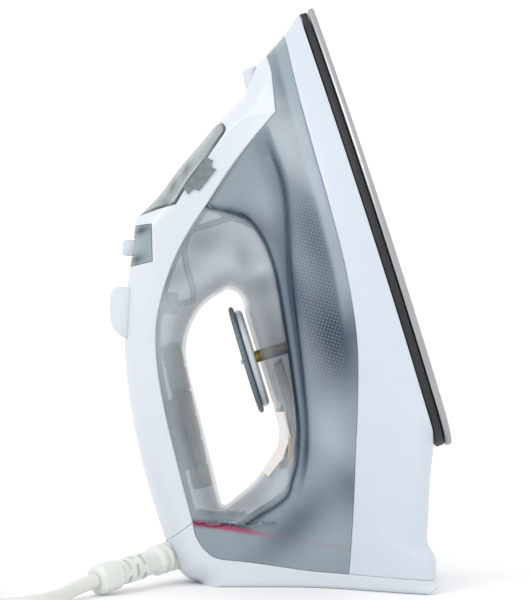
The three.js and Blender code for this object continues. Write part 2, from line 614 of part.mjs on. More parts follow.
// ---------------------------------------------------------------- pump buttons
const BUTTON_PLACE = drawnAt(107.5, 134);
const [ridgeAhead, ridgeBehind] = [[117.8, 130.5], [89.4, 140.2]].map(([u, v]) => drawnAt(u, v));
const FORWARD = ridgeAhead.clone().sub(ridgeBehind).normalize();
const OUTWARD = FORWARD.clone().cross(RIGHT);
const buttonFrame = new THREE.Matrix4().makeBasis(FORWARD, OUTWARD, FORWARD.clone().cross(OUTWARD));
function acrossHandle(place, outline, low, high) {
  const shape = new THREE.Shape(outline.map(([f, o]) => new THREE.Vector2(f, o)));
  const side = FORWARD.clone().cross(OUTWARD).y;
  const geometry = new THREE.ExtrudeGeometry(shape, { depth: high - low, bevelEnabled: false });
  return solidOf(geometry.translate(0, 0, side > 0 ? low : -high), buttonFrame.clone().setPosition(place));
}
const longHalf = BUTTON_LENGTH / 2;
const buttonOutline = [
  [-longHalf, -BUTTON_SKIRT], [longHalf, -BUTTON_SKIRT], [longHalf, 0.3 * BUTTON_STAND],
  [longHalf - 3, 0.9 * BUTTON_STAND], [longHalf - 6, BUTTON_STAND], [-longHalf + 8, BUTTON_STAND - 0.6],
  [-longHalf + 2, 0.5 * BUTTON_STAND], [-longHalf, 0.1 * BUTTON_STAND],
];
const BUTTON_SPLIT = 0.5; // half the slot between the two buttons
const buttonY = BUTTON_SPLIT + BUTTON_WIDTH / 2;
const buttonReach = BUTTON_SPLIT + BUTTON_WIDTH;
const buttonWell = acrossHandle(BUTTON_PLACE, [
  [-longHalf - RUN, -20], [longHalf + RUN, -20], [longHalf + RUN, 30], [-longHalf - RUN, 30],
], -buttonReach - RUN, buttonReach + RUN);

const STEM_AHEAD = 5; // the pumps sit ahead of the buttons' middle
const pumpTop = BUTTON_SKIRT + BUTTON_TRAVEL + 1;
const pumpFloor = BUTTON_SKIRT + GAP + PISTON_LENGTH + BUTTON_TRAVEL + 3.4;
const SPRING_WIRE = 0.35;
const SPRING_STEPS = 14;
const SPRING_RISE = 0.16; // in each step of a sixth of a turn
const pumps = [["steam", 1], ["spray", -1]].map(([name, side]) => {
  const [near, far] = side > 0 ? [BUTTON_SPLIT, buttonReach] : [-buttonReach, -BUTTON_SPLIT];
  piece(`${name}_button`, "white", acrossHandle(BUTTON_PLACE, buttonOutline, near, far));
  const down = (depth) => (
    moved(BUTTON_PLACE, [FORWARD, STEM_AHEAD], [OUTWARD, -depth], [RIGHT, side * buttonY]));
  const stemTop = BUTTON_SKIRT + GAP;
  piece(`${name}_piston`, "cream", rod(PISTON_RADIUS, down(stemTop), down(stemTop + PISTON_LENGTH), 12));
  const turns = Array.from({ length: SPRING_STEPS + 1 }, (_, i) => {
    const angle = (Math.PI * i) / 3;
    const place = down(stemTop + PISTON_LENGTH + GAP + SPRING_WIRE + SPRING_RISE * i);
    return moved(place, [FORWARD, 2 * Math.cos(angle)], [RIGHT, 2 * Math.sin(angle)]);
  });
  piece(`${name}_spring`, "steel", tube(turns, SPRING_WIRE, SPRING_STEPS, 5));
  const body = rod(PUMP_RADIUS, down(pumpTop), down(pumpFloor + 1.6), 16);
  const bore = rod(PISTON_RADIUS + RUN, down(pumpTop - 1), down(pumpFloor), 16);
  const outlet = rod(1.8, down(pumpFloor + 1), down(pumpFloor + 4), 8);
  piece(`${name}_pump`, "cream", cut(join(body, outlet), bore));
  return { down };
});

// ---------------------------------------------------------------- steam slider and valve
const VALVE_U = along(137);
const sliderPlace = drawnAt(137, 121.6);
const knobHalf = KNOB_LENGTH / 2;
const slotReach = (KNOB_WIDTH + SLIDER_TRAVEL) / 2 + RUN;
const acrossSlot = (outline, reach) => acrossHandle(sliderPlace, outline, -reach, reach);
const sliderSlot = acrossSlot([
  [-knobHalf - RUN, -6], [knobHalf + RUN, -6], [knobHalf + RUN, 9], [-knobHalf - RUN, 9],
], slotReach);
const plateTop = -WALL - 1.6;
const sliderKnob = acrossSlot([
  [-knobHalf, plateTop - 0.2], [knobHalf, plateTop - 0.2], [knobHalf, 3.6], [knobHalf - 1.5, 5],
  [-knobHalf + 1.5, 5], [-knobHalf, 3.6],
], KNOB_WIDTH / 2);
const sliderPlate = acrossSlot([
  [-knobHalf - 2, plateTop - SLIDER_PLATE], [knobHalf + 2, plateTop - SLIDER_PLATE],
  [knobHalf + 2, plateTop], [-knobHalf - 2, plateTop],
], KNOB_WIDTH / 2 + 1);
piece("steam_slider", "silver", join(sliderKnob, sliderPlate));

// Cuts across the whole iron inside a drawn side-view outline, grown by a clearance.
function zone(places, grow) {
  const loop = places.map((p) => new THREE.Vector2(p.z, -p.x));
  const grown = inset(loop, loop.map(() => -grow));
  return sideways(grown.map((p) => [p.x, p.y]), -BODY_WIDTH, BODY_WIDTH);
}
const bezelPlaces = [
  [129.4, 140], [127.2, 113.2], [144.6, 108.4], [148.6, 128], [148.6, 140],
].map(([u, v]) => drawnAt(u, v));
const bezelZone = (grow) => zone(bezelPlaces, grow);

const valveTop = rise(121.6) - WALL - SLIDER_PLATE - 6.5;
const valveFoot = PLATE_TOP + 1.8;
piece("steam_valve_rod", "steel", rod(VALVE_ROD_RADIUS, at(VALVE_U, valveFoot), at(VALVE_U, valveTop), 10));
const valveHole = rod(VALVE_ROD_RADIUS + RUN, at(VALVE_U, valveFoot - 2), at(VALVE_U, valveTop - 8), 10);
const tankFloor = rise(23.2) + WALL;
const valveSeat = turned(ring(VALVE_ROD_RADIUS + RUN, 5, 0, 2), at(VALVE_U, tankFloor + 1), UP, 14);
piece("valve_seat", "brass", valveSeat);

// ---------------------------------------------------------------- fill lid and inlet
const [ridgeLow, ridgeHigh] = [[185.7, 60.1], [176.5, 74.5]].map(([u, v]) => drawnAt(u, v));
const RIDGE_BACK = ridgeHigh.clone().sub(ridgeLow).normalize();
const RIDGE_IN = RIGHT.clone().cross(RIDGE_BACK);
if (RIDGE_IN.dot(UP) > 0) RIDGE_IN.negate();
const lidEnd = BARREL_RADIUS + 0.6;
const lidPivot = moved(ridgeLow, [RIDGE_BACK, 6], [RIDGE_IN, lidEnd + 0.2]);
const lidRound = Array.from({ length: 7 }, (_, i) => {
  const angle = (Math.PI * i) / 6;
  return moved(lidPivot, [RIDGE_IN, -lidEnd * Math.cos(angle)], [RIDGE_BACK, -lidEnd * Math.sin(angle)]);
});
const lidPlaces = [
  moved(lidPivot, [RIDGE_IN, -20]), ...lidRound,
  ...[[168.8, 71.6], [158.8, 85.1], [150.7, 94], [151, 101], [151.4, 140]].map(([u, v]) => drawnAt(u, v)),
];
const lidZone = (grow) => zone(lidPlaces, grow);
const LID_SWING_ROOM = lidEnd + 0.55; // ahead of the pivot, where the open lid's face comes to stand
const hingeRoom = zone([
  moved(lidPivot, [RIDGE_IN, -20]), moved(lidPivot, [RIDGE_IN, -20], [RIDGE_BACK, -LID_SWING_ROOM]),
  moved(lidPivot, [RIDGE_BACK, -LID_SWING_ROOM]), lidPivot,
], 0);
const barrelHalf = 8;
const LUG = 2.6;
const pinHalf = barrelHalf + RUN + LUG + 0.4;
const acrossPin = (radius, low, high, sides = 14) => (
  rod(radius, moved(lidPivot, [RIGHT, low]), moved(lidPivot, [RIGHT, high]), sides)
);
const pinBore = acrossPin(LID_PIN_RADIUS + GAP, -pinHalf - 2, pinHalf + 2, 10);
piece("lid_pin", "steel", acrossPin(LID_PIN_RADIUS, -pinHalf, pinHalf, 10));

const DECK_HALF = 16.5 * STRETCH_Y;
const deckAhead = moved(drawnAt(171.5, 66), [RIDGE_IN, DECK_THICKNESS]);
const deckBehind = moved(drawnAt(153, 91.5), [RIDGE_IN, DECK_THICKNESS]);
const deckLine = deckBehind.clone().sub(deckAhead);
const deckCentre = moved(deckAhead, [deckLine, 0.36]);
const INLET_IN = RIGHT.clone().cross(deckLine).normalize();
if (INLET_IN.dot(UP) > 0) INLET_IN.negate();
const deck = sideways([
  deckAhead, deckBehind,
  moved(deckBehind, [INLET_IN, DECK_THICKNESS]), moved(deckAhead, [INLET_IN, DECK_THICKNESS]),
].map((p) => [p.z, -p.x]), -DECK_HALF, DECK_HALF);
const INLET_LENGTH = 15.5;
const inletTube = rod(INLET_RADIUS, deckCentre, moved(deckCentre, [INLET_IN, INLET_LENGTH]), 18);
const inletBore = rod(INLET_RADIUS - INLET_WALL, moved(deckCentre, [INLET_IN, -2]),
  moved(deckCentre, [INLET_IN, INLET_LENGTH + 1]), 18);
const inletHole = rod(INLET_RADIUS + GAP, deckCentre, moved(deckCentre, [INLET_IN, INLET_LENGTH + 3]), 18);
const lugs = [1, -1].map((side) => {
  const inner = barrelHalf + RUN;
  const [low, high] = side > 0 ? [inner, inner + LUG] : [-inner - LUG, -inner];
  const foot = moved(deckAhead, [INLET_IN, DECK_THICKNESS / 2], [deckLine, 0.02]);
  const wide = RIDGE_BACK.clone().multiplyScalar(BARREL_RADIUS - 0.3);
  const outline = [
    moved(lidPivot, [wide, -1]), moved(lidPivot, [RIDGE_IN, -1.9], [wide, -0.6]),
    moved(lidPivot, [RIDGE_IN, -1.9], [wide, 0.6]), moved(lidPivot, [wide, 1]),
    moved(foot, [deckLine, 0.16]), foot,
  ].map((p) => [p.z, -p.x]);
  return sideways(outline, low, high);
});
piece("fill_inlet", "white", cut(join(deck, inletTube, ...lugs), inletBore, pinBore));

// ---------------------------------------------------------------- spray nozzle
const nozzleLine = (u) => drawnAt(u, 39.5);
const nozzleLength = nozzleLine(206.2).z - nozzleLine(188).z;
piece("spray_nozzle", "white", turned([
  [0, 0], [NOZZLE_RADIUS, 0], [NOZZLE_RADIUS, nozzleLength - 2], [NOZZLE_RADIUS - 1.2, nozzleLength],
  [1.4, nozzleLength], [0.8, nozzleLength - 2], [0, nozzleLength - 2],
], nozzleLine(188), TOE, 18));
const nozzleFoot = moved(nozzleLine(188), [TOE, -GAP]);
const nozzleHole = rod(NOZZLE_RADIUS + GAP, nozzleFoot, moved(nozzleFoot, [TOE, 30]), 18);
const sprayOutlet = pumps[1].down(pumpFloor + 4.9);
piece("spray_tube", "cream", tube([
  moved(nozzleLine(188), [TOE, -GAP - 0.6]), drawnAt(184.5, 40.5, -1), drawnAt(179, 44.5, -6),
  drawnAt(171, 54, -12), drawnAt(159, 68, -13), drawnAt(146, 83, -12), drawnAt(128, 97, -9),
  moved(sprayOutlet, [OUTWARD, -5], [FORWARD, 2]), sprayOutlet,
], 1.6, 24, 6));

// ---------------------------------------------------------------- pilot lamp
const lensPlaces = [[38.5, 84], [38.5, 72.8], [26, 73.4], [16, 80.4], [9.4, 89.6], [18, 98]].map(([u, v]) => (
  drawnAt(u, v)));
const lensZone = (grow) => zone(lensPlaces, grow);
piece("pilot_lamp", "amber", rod(1.7, drawnAt(11.5, 81.5, -6), drawnAt(11.5, 81.5, 6), 10));

// ---------------------------------------------------------------- handle electronics
const boardCentre = drawnAt(40, 123);
piece("auto_off_board", "board", block(boardCentre, [1.6, 22, 34]));
piece("relay", "navy", block(moved(boardCentre, [UP, 0.8 + GAP + 3.6], [TOE, 10]), [7.2, 12, 10]));
const canStart = moved(boardCentre, [UP, 0.8 + GAP + 3.2], [TOE, -13]);
piece("capacitor", "dark", rod(3.2, canStart, moved(canStart, [TOE, 15]), 12));

// ---------------------------------------------------------------- tank, shells and their openings
const tankOuter = strip(tankSides(), EVEN, { ...SEAMED, start: 0 }, 0);
const tankCavity = strip(tankSides(), COARSE, { a: WALL, b: WALL, start: WALL, end: WALL }, WALL);
const passage = spindleBore(SPINDLE_RADIUS + RUN + PASSAGE_WALL, rise(30.5), rise(61));
const tankWhole = join(cut(tankOuter, tankCavity), passage);
piece("water_tank", "smoke", cut(tankWhole, spindleHole, valveHole, inletHole));

const sealBack = trace([[[[-11.5, 121], [-16, 108], [-27, 85], [-35, 69.5]], 6]]);
const sealFront = sealBack.map((p) => new THREE.Vector2(p.x + 1.6, p.y + 0.4));
piece("tank_seal", "red", strip({ a: sealBack, b: sealFront }, [0, 1],
  { a: 0, b: 0, start: 0, end: 0 }, WALL + 1.5));

const heaterRoom = plate(soleOutline(CASTING_INSET - 1.5, CASTING_HEEL - 1.5), 0, CASTING_TOP + 1);
piece("skirt", "white", cut(skirtShell(), spindleHole, valveHole, heaterRoom));

const ballCentre = drawnAt(-15.5, 140.5);
const guardLine = xyz(-Math.cos(GUARD_YAW), -Math.sin(GUARD_YAW), 0).multiplyScalar(Math.cos(GUARD_DROOP));
guardLine.z = -Math.sin(GUARD_DROOP);
const NECK_RADIUS = 7.4;
const socket = (() => {
  const centre = standing(ballCentre);
  const ball = turned(sphereProfile(BALL_RADIUS + RUN, -90, 90), centre, guardLine, 18);
  const mouth = rod(NECK_RADIUS + RUN, centre, moved(centre, [guardLine, 30]), 18);
  return inSoleFrame(join(ball, mouth));
})();

const flatLine = flatFront.clone().sub(flatBack).normalize();
const FLAT_IN = RIGHT.clone().cross(flatLine);
if (FLAT_IN.dot(TOE) < 0) FLAT_IN.negate();
const screwFlat = moved(flatBack, [flatLine, 0.62 * flatBack.distanceTo(flatFront)]);
const HEAD_RADIUS = 3.2;
const HEAD_DEPTH = 1.3;
const screwCut = turned([
  [0, -1], [HEAD_RADIUS + GAP, -1], [HEAD_RADIUS + GAP, HEAD_DEPTH], [SCREW_RADIUS + GAP, HEAD_DEPTH],
  [SCREW_RADIUS + GAP, WALL + 2], [0, WALL + 2],
], screwFlat, FLAT_IN, 14);
piece("rear_cover", "white", cut(rearShell(), socket, screwCut));
piece("rear_screw", "steel", turned([
  [0, 0.2], [HEAD_RADIUS, 0.2], [HEAD_RADIUS, HEAD_DEPTH - GAP], [SCREW_RADIUS, HEAD_DEPTH - GAP],
  [SCREW_RADIUS, WALL + 3], [0, WALL + 3],
], screwFlat, FLAT_IN, 14));

const handleWhole = handleShell();
piece("handle_shell", "smoke", cut(handleWhole, lensZone(GAP), spindleHole, valveHole, socket));
piece("pilot_lens", "milky", handleWhole.intersect(lensZone(0)));

const coverWhole = coverShell();
const lugRoom = [1, -1].map((side) => {
  const ends = [side * barrelHalf, side * (barrelHalf + LUG + 2 * RUN)].toSorted((a, b) => a - b);
  return acrossPin(lidEnd + 1, ...ends);
});
const lidShell = join(cut(coverWhole.intersect(lidZone(0)), ...lugRoom),
  acrossPin(BARREL_RADIUS, -barrelHalf, barrelHalf));
piece("fill_lid", "lid", cut(lidShell, pinBore));
piece("slider_bezel", "smoke", cut(coverWhole.intersect(bezelZone(0)), sliderSlot));
const coverHoles = [lidZone(GAP), hingeRoom, bezelZone(GAP), buttonWell, nozzleHole, socket];
piece("handle_cover", "white", cut(coverWhole, ...coverHoles));

// ---------------------------------------------------------------- wiring in the heel
const inwardsCord = [[-22.8, 134.4], [-26.8, 129], [-29.8, 120]].map(([u, v]) => drawnAt(u, v));
piece("inner_cord", "cord", tube(inwardsCord, 2.4, 6, 8));
const clampLine = inwardsCord[2].clone().sub(inwardsCord[0]).normalize();
const clampFoot = moved(inwardsCord[1], [clampLine, -1.6]);
piece("cord_clamp", "cream", turned(ring(2.4 + GAP, 4.4, 0, 3.2), clampFoot, clampLine, 14));
piece("terminal_block", "cream", sideways(
  [[-33.4, 101.5], [-39.2, 101.5], [-35.6, 117], [-29, 117]].map(([u, v]) => {
    const place = drawnAt(u, v);
    return [place.z, -place.x];
  }), -13, 13,
));
const leadRoute = [
  [-35.4, 100.6], [-40.5, 86], [-47.3, 70], [-52.3, 54], [-46, 40], [-30, 29], [-8, 22], [2, 19],
];
for (const [name, side] of [["live", 1], ["neutral", -1]]) {
  const places = leadRoute.map(([u, v], i) => drawnAt(u, v, side * (6 + 1.8 * i)));
  piece(`lead_${name}`, name === "live" ? "amber" : "navy", tube(places, LEAD_RADIUS, 16, 6));
}

// ---------------------------------------------------------------- cord guard, cord and plug
function sphereProfile(radius, from, to, steps = 8) {
  return Array.from({ length: steps + 1 }, (_, i) => {
    const angle = THREE.MathUtils.degToRad(from + ((to - from) * i) / steps);
    return [Math.max(radius * Math.cos(angle), 0), radius * Math.sin(angle)];
  });
}

const guardRoot = standing(ballCentre);
const ribs = [0, 5, 10].flatMap((on) => (
  [[NECK_RADIUS, 10.5 + on], [NECK_RADIUS, 13 + on], [5.6, 13.6 + on], [5.6, 15 + on]]));
const guardProfile = [
  ...sphereProfile(BALL_RADIUS, -90, 40), [5.6, 6.4], [5.6, 10], ...ribs, [5, 30], [4.6, 49],
  [COLLAR_RADIUS, 51], [COLLAR_RADIUS, GUARD_LENGTH - 1.5], [COLLAR_RADIUS - 1.5, GUARD_LENGTH],
  [0, GUARD_LENGTH],
];
const slotTurn = new THREE.Quaternion().setFromUnitVectors(xyz(0, 1, 0), guardLine);
const slotSide = xyz(1, 0, 0).applyQuaternion(slotTurn);
const slots = [0, 1, 2].flatMap((i) => [1, -1].map((side) => (
  block(moved(guardRoot, [guardLine, 34 + 5.2 * i], [slotSide, side * 4.4]), [3, 1.8, 12], slotTurn))));
piece("cord_guard", "white", cut(turned(guardProfile, guardRoot, guardLine, 14), ...slots), floor);

const cordStart = moved(guardRoot, [guardLine, GUARD_LENGTH + GAP]);
const LIFT = CORD_RADIUS + GAP; // a cord's middle as it lies on the floor
const leadPlaces = [
  cordStart, moved(cordStart, [guardLine, 6]), xyz(-112.5, -60.5, 5), xyz(-116.3, -69.5, LIFT),
  xyz(-119.9, -78.5, LIFT), xyz(-124, -87, LIFT), xyz(-129.8, -94.2, LIFT), xyz(-137.2, -99.8, LIFT),
  xyz(-146.2, -103.6, LIFT), xyz(-158, -105.9, LIFT), xyz(-172, -106.7, LIFT), xyz(-190, -106.4, LIFT),
  xyz(-207, -106.4, LIFT),
];
piece("cord_lead", "cord", tube(leadPlaces, CORD_RADIUS, 24, 10), floor);
const [coilX, coilY] = COIL_CENTRE;
const coilHalf = COIL_COLUMNS * CORD_RADIUS;
const coilProfile = ring(COIL_MIDDLE - coilHalf, COIL_MIDDLE + coilHalf, GAP, GAP + COIL_HEIGHT);
piece("cord_coil", "cord", turned(coilProfile, xyz(coilX, coilY, 0), xyz(0, 0, 1), 32), floor);

const coilTop = GAP + COIL_HEIGHT;
const tailLow = coilTop + GAP + CORD_RADIUS;
const plugAxis = coilTop + GAP + PLUG_RADIUS;
const plugRear = xyz(-196, -73, plugAxis);
const PLUG_LINE = xyz(-1, 0, 0);
const sleeveEnd = moved(plugRear, [PLUG_LINE, -PLUG_SLEEVE_LENGTH]);
const tailPlaces = [
  xyz(-209, -11.5, tailLow), xyz(-196, -12.8, tailLow), xyz(-181, -18, tailLow + 1),
  xyz(-168, -28, tailLow + 4), xyz(-160.5, -40, tailLow + 8), xyz(-158, -53, tailLow + 12),
  xyz(-161, -65, plugAxis - 1),
  moved(sleeveEnd, [PLUG_LINE, -6]), moved(sleeveEnd, [PLUG_LINE, -GAP]),
];
piece("cord_tail", "cord", tube(tailPlaces, CORD_RADIUS, 20, 10), floor);
piece("plug_sleeve", "cord", turned([
  [0, 0], [4.6, 0], [6.4, PLUG_SLEEVE_LENGTH - GAP], [0, PLUG_SLEEVE_LENGTH - GAP],
], sleeveEnd, PLUG_LINE, 12), floor);
const plugProfile = [
  [0, 0], [9, 0], [13, 6], [13.5, 14], [PLUG_RADIUS, 22], [PLUG_RADIUS, PLUG_LENGTH], [0, PLUG_LENGTH],
];
piece("plug_body", "cord", turned(plugProfile, plugRear, PLUG_LINE, 20), floor);
for (const [name, side] of [["live", 1], ["neutral", -1]]) {
  const root = moved(plugRear, [PLUG_LINE, PLUG_LENGTH + GAP], [RIGHT, (side * PIN_SPACING) / 2]);
  piece(`plug_pin_${name}`, "brass", rod(PIN_RADIUS, root, moved(root, [PLUG_LINE, PIN_LENGTH]), 10), floor);
}

export default group;
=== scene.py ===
"""A steam iron standing on its heel, with its cord coiled on the floor beside it.

The shells are surfaces over the iron's side view. A place there is [u, v] in millimetres: u runs
along the soleplate from its heel end to its tip, and v is the height above the ironing face. The
body's half width is worked out at each place, and SOLE turns places into the standing frame.
"""
import logging
import math
from collections.abc import Callable, Sequence
from dataclasses import dataclass, field
from enum import Enum

import bmesh
import bpy
import numpy as np
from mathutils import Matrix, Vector


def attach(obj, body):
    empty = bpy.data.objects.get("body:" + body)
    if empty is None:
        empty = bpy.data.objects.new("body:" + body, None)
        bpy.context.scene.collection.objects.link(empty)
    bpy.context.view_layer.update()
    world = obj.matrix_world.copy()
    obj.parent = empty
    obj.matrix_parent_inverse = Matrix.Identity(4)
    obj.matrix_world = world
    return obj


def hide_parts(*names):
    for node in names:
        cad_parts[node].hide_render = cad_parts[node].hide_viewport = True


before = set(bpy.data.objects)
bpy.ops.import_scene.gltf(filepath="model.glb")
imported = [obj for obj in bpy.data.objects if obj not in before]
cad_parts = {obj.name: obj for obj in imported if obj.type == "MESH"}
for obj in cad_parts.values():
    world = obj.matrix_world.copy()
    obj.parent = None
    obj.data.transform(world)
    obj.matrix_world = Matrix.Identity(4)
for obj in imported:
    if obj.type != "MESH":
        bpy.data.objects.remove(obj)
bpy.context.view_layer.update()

MM = 0.001
Array = np.ndarray
Place = tuple[float, float]
log = logging.getLogger("iron")


# ---------------------------------------------------------------- the sole frame
@dataclass(frozen=True)
class SoleFrame:
    """The frame the iron is drawn in, and how it leans when it stands on its heel."""

    heel_back: Place = (-32.0, 138.2)
    heel_front: Place = (-64.4, 32.2)

    @property
    def lean(self) -> float:
        """The angle between the soleplate and the upright."""
        back, front = self.heel_back, self.heel_front
        return math.atan2(back[0] - front[0], back[1] - front[1])

    def row(self, u: Array, v: Array, y: Array) -> Array:
        """Points in the standing frame.

        Args:
            u: places along the soleplate, in mm.
            v: heights above the ironing face, in mm.
            y: places across, in mm.

        Returns:
            An array whose last axis holds x, y and z in metres.
        """
        c, s = math.cos(self.lean), math.sin(self.lean)
        mid_u = (self.heel_back[0] + self.heel_front[0]) / 2
        mid_v = (self.heel_back[1] + self.heel_front[1]) / 2
        du, dv = np.asarray(u, float) - mid_u, np.asarray(v, float) - mid_v
        x = -s * du - c * dv
        z = c * du - s * dv
        x, y, z = np.broadcast_arrays(x, np.asarray(y, float), z)
        return np.stack([x, y, z], axis=-1) * MM

    def vector(self, u: float, v: float, y: float = 0.0) -> Vector:
        """One place as a point in the standing frame, in metres."""
        return Vector(self.row(u, v, y))

    def direction(self, u: float, v: float) -> Vector:
        """A direction in the side view as one in the standing frame."""
        return (self.vector(u, v) - self.vector(0, 0)).normalized()


SOLE = SoleFrame()
UP = SOLE.direction(0, 1)
TOE = SOLE.direction(1, 0)


# ---------------------------------------------------------------- side-view lines
def spline(points: Sequence[Sequence[float]] | Array, steps: int) -> Array:
    """Points evenly along a centripetal Catmull-Rom curve through the given ones.

    Each stretch is a cubic whose end slopes weigh the neighbouring chords by the square roots of
    their lengths, and the walk is then shared out by length.

    Args:
        points: the points that the curve passes.
        steps: how many equal steps to walk it in.

    Returns:
        steps + 1 points.
    """
    p = np.asarray(points, float)
    p = np.vstack([2 * p[0] - p[1], p, 2 * p[-1] - p[-2]])
    gap = np.linalg.norm(np.diff(p, axis=0), axis=1)[:, None] ** 0.5
    d0, d1, d2 = gap[:-2], gap[1:-1], gap[2:]
    p0, p1, p2, p3 = p[:-3], p[1:-2], p[2:-1], p[3:]
    m1 = d1 * ((p1 - p0) / d0 - (p2 - p0) / (d0 + d1) + (p2 - p1) / d1)
    m2 = d1 * ((p2 - p1) / d1 - (p3 - p1) / (d1 + d2) + (p3 - p2) / d2)
    s = np.linspace(0, 1, 40, endpoint=False)[None, :, None]
    p1, p2, m1, m2 = (q[:, None, :] for q in (p1, p2, m1, m2))
    cubic = (
        (2 * s**3 - 3 * s**2 + 1) * p1
        + (s**3 - 2 * s**2 + s) * m1
        + (3 * s**2 - 2 * s**3) * p2
        + (s**3 - s**2) * m2
    )
    walk = np.vstack([cubic.reshape(-1, p.shape[1]), p[-2]])
    run = np.concatenate([[0], np.cumsum(np.linalg.norm(np.diff(walk, axis=0), axis=1))])
    at = np.linspace(0, run[-1], steps + 1)
    return np.stack([np.interp(at, run, walk[:, k]) for k in range(p.shape[1])], axis=1)


@dataclass(frozen=True)
class Line:
    """Smooth runs that meet at corners: each run has its places and the steps it counts for."""

    runs: tuple[tuple[tuple[Place, ...], int], ...]

    @property
    def steps(self) -> int:
        """How many steps the whole line counts for."""
        return sum(steps for _, steps in self.runs)

    def at(self, t: Array) -> Array:
        """The places at t, counted in steps from the line's start.

        Args:
            t: counts of steps from the line's start.

        Returns:
            One place for each count.
        """
        fine = 12
        counts, walked, base = [], [], 0
        for points, steps in self.runs:
            counts.append(base + np.linspace(0, steps, fine * steps + 1))
            walked.append(spline(points, fine * steps))
            base += steps
        count, walk = np.concatenate(counts), np.vstack(walked)
        return np.stack([np.interp(t, count, walk[:, k]) for k in (0, 1)], axis=1)

    def walked(self, per_step: int = 4) -> Array:
        """The line as places that many to a step."""
        return self.at(np.linspace(0, self.steps, per_step * self.steps + 1))


SKIRT_TOP_FRONT = (
    (216.5, 18.3), (189, 20.7), (156, 22.4), (126, 23.4), (93, 25.4), (62, 30), (35, 37.7), (12, 45.5),
)
SKIRT_TOP_REAR = ((12, 45.5), (-11, 53.2), (-34.3, 61.5), (-46, 66))
SKIRT_NOSE = (224.5, 8.2)
SKIRT_HEEL = (8, 8.2)
SKIRT_BACK = (
    SKIRT_HEEL, (2, 10.1), (-11.4, 15.5), (-29.4, 21.8), (-41, 25.4), (-49, 24), (-58.8, 26.7),
)
NOSE_UNDER_COVER = ((209.4, 29.9), (200, 30), (192.6, 31.4), (179, 34.1))
NOSE_OVER_TANK = ((179, 34.1), (168.6, 50.5), (159.5, 63.4), (145, 80.7))
HANDLE_SEAM = (
    (145, 80.7), (135.2, 64.5), (121.9, 58.8), (105, 57.6), (88, 59.4), (57, 63.8), (28.2, 69.1), (12, 75),
)
HEEL_CORNER = (12, 75)
SEAM_TURN = (-10, 107.5)
SEAM_END = (-0.8, 131.5)
SEAM_BEHIND = (HEEL_CORNER, (5.4, 79), (-1.9, 84.2), SEAM_TURN)
COVER_EDGE = (
    SEAM_END, (25.5, 130.4), (55.7, 128.5), (80.2, 125.1), (98.9, 119.4), (122.5, 104.5), (136.4, 91.1),
    (145, 80.7),
)
NOSE_RIDGE = ((208.6, 31.2), (204.8, 37), (192.6, 46.9))
LID_RIDGE = ((192.6, 46.9), (185.7, 60.1), (176.5, 74.5), (168.4, 87.4), (158.4, 100.9), (150, 116))
HANDLE_BACK = (
    (150, 116), (130.6, 124.5), (117.8, 130.5), (89.4, 140.2), (60.8, 145.8), (24, 148.7), (-7.4, 148.5),
)
HEEL_BACK = ((-7.4, 148.5), (-15.4, 148.2), (-22.1, 146.7), (-28, 143.5), SOLE.heel_back)
HEEL_FLAT = (SOLE.heel_back, SOLE.heel_front)
HEEL_FRONT = (SOLE.heel_front, (-62.1, 27.8))
REAR_SEAM_TURN = (SEAM_END, (-7.3, 131.9), (-13.9, 130.4), (-19.5, 127), (-22.3, 123.2))
REAR_SEAM_TANK = ((-22.3, 123.2), (-27.6, 110.5), (-39.9, 83.6), (-46, 66))
REAR_SEAM_SKIRT = ((-46, 66), (-58.8, 26.7))
SADDLE = 77.5
GUARD_BALL = (-15.5, 140.5)
WELL_REACH = 0.03  # metres that a round well is cut out along its axis
OPENING = (
    ((103.5, 82.5), (100.5, 78.5), (95, 76.8), (88, SADDLE), (40, SADDLE), (28, 78.5), (20.8, 81.7)),
    ((20.8, 81.7), (8.2, 97), (2.5, 110)),
    ((2.5, 110), (0.7, 114.5), (1.6, 116.2), (6, 116.2)),
    ((6, 116.2), (38.7, 114.5), (69.5, 112.8), (81.5, 110.8), (92.1, 104.4), (99.7, 95.2), (103.5, 82.5)),
)

RIDGE_LINE = Line(((NOSE_RIDGE, 4), (LID_RIDGE, 10), (HANDLE_BACK, 20), (HEEL_BACK, 8))).walked()
OPENING_LINE = Line(tuple(zip(OPENING, (16, 6, 5, 20)))).walked()
BACK_LINE = Line(((SKIRT_BACK, 12),)).walked()
FLAT_LINE = Line(((HEEL_FLAT, 4),)).walked()
NOSE_LINE = Line((((NOSE_RIDGE[0], (209.4, 29.9), SKIRT_TOP_FRONT[0], SKIRT_NOSE), 6),)).walked()
TOE_LINE = Line(((((-58.8, 26.7), (-62.1, 27.8), SOLE.heel_front), 4),)).walked()


def smooth(x: Array, low: float, high: float) -> Array:
    """Rises from 0 at low to 1 at high, flat at both ends."""
    t = np.clip((x - low) / (high - low), 0, 1)
    return t * t * (3 - 2 * t)


def distance_to(line: Array, places: Array) -> Array:
    """The distance from each place to the nearest point of a line of straight stretches.

    Args:
        line: the line's points in the side view.
        places: places in the side view, in mm.

    Returns:
        One distance in mm for each place.
    """
    start, step = line[:-1], np.diff(line, axis=0)
    step = np.where(np.abs(step) < 1e-9, 1e-9, step)
    away = places[:, None, :] - start[None]
    share = np.clip((away * step).sum(-1) / (step**2).sum(-1), 0, 1)
    return np.linalg.norm(away - share[..., None] * step, axis=-1).min(axis=1)


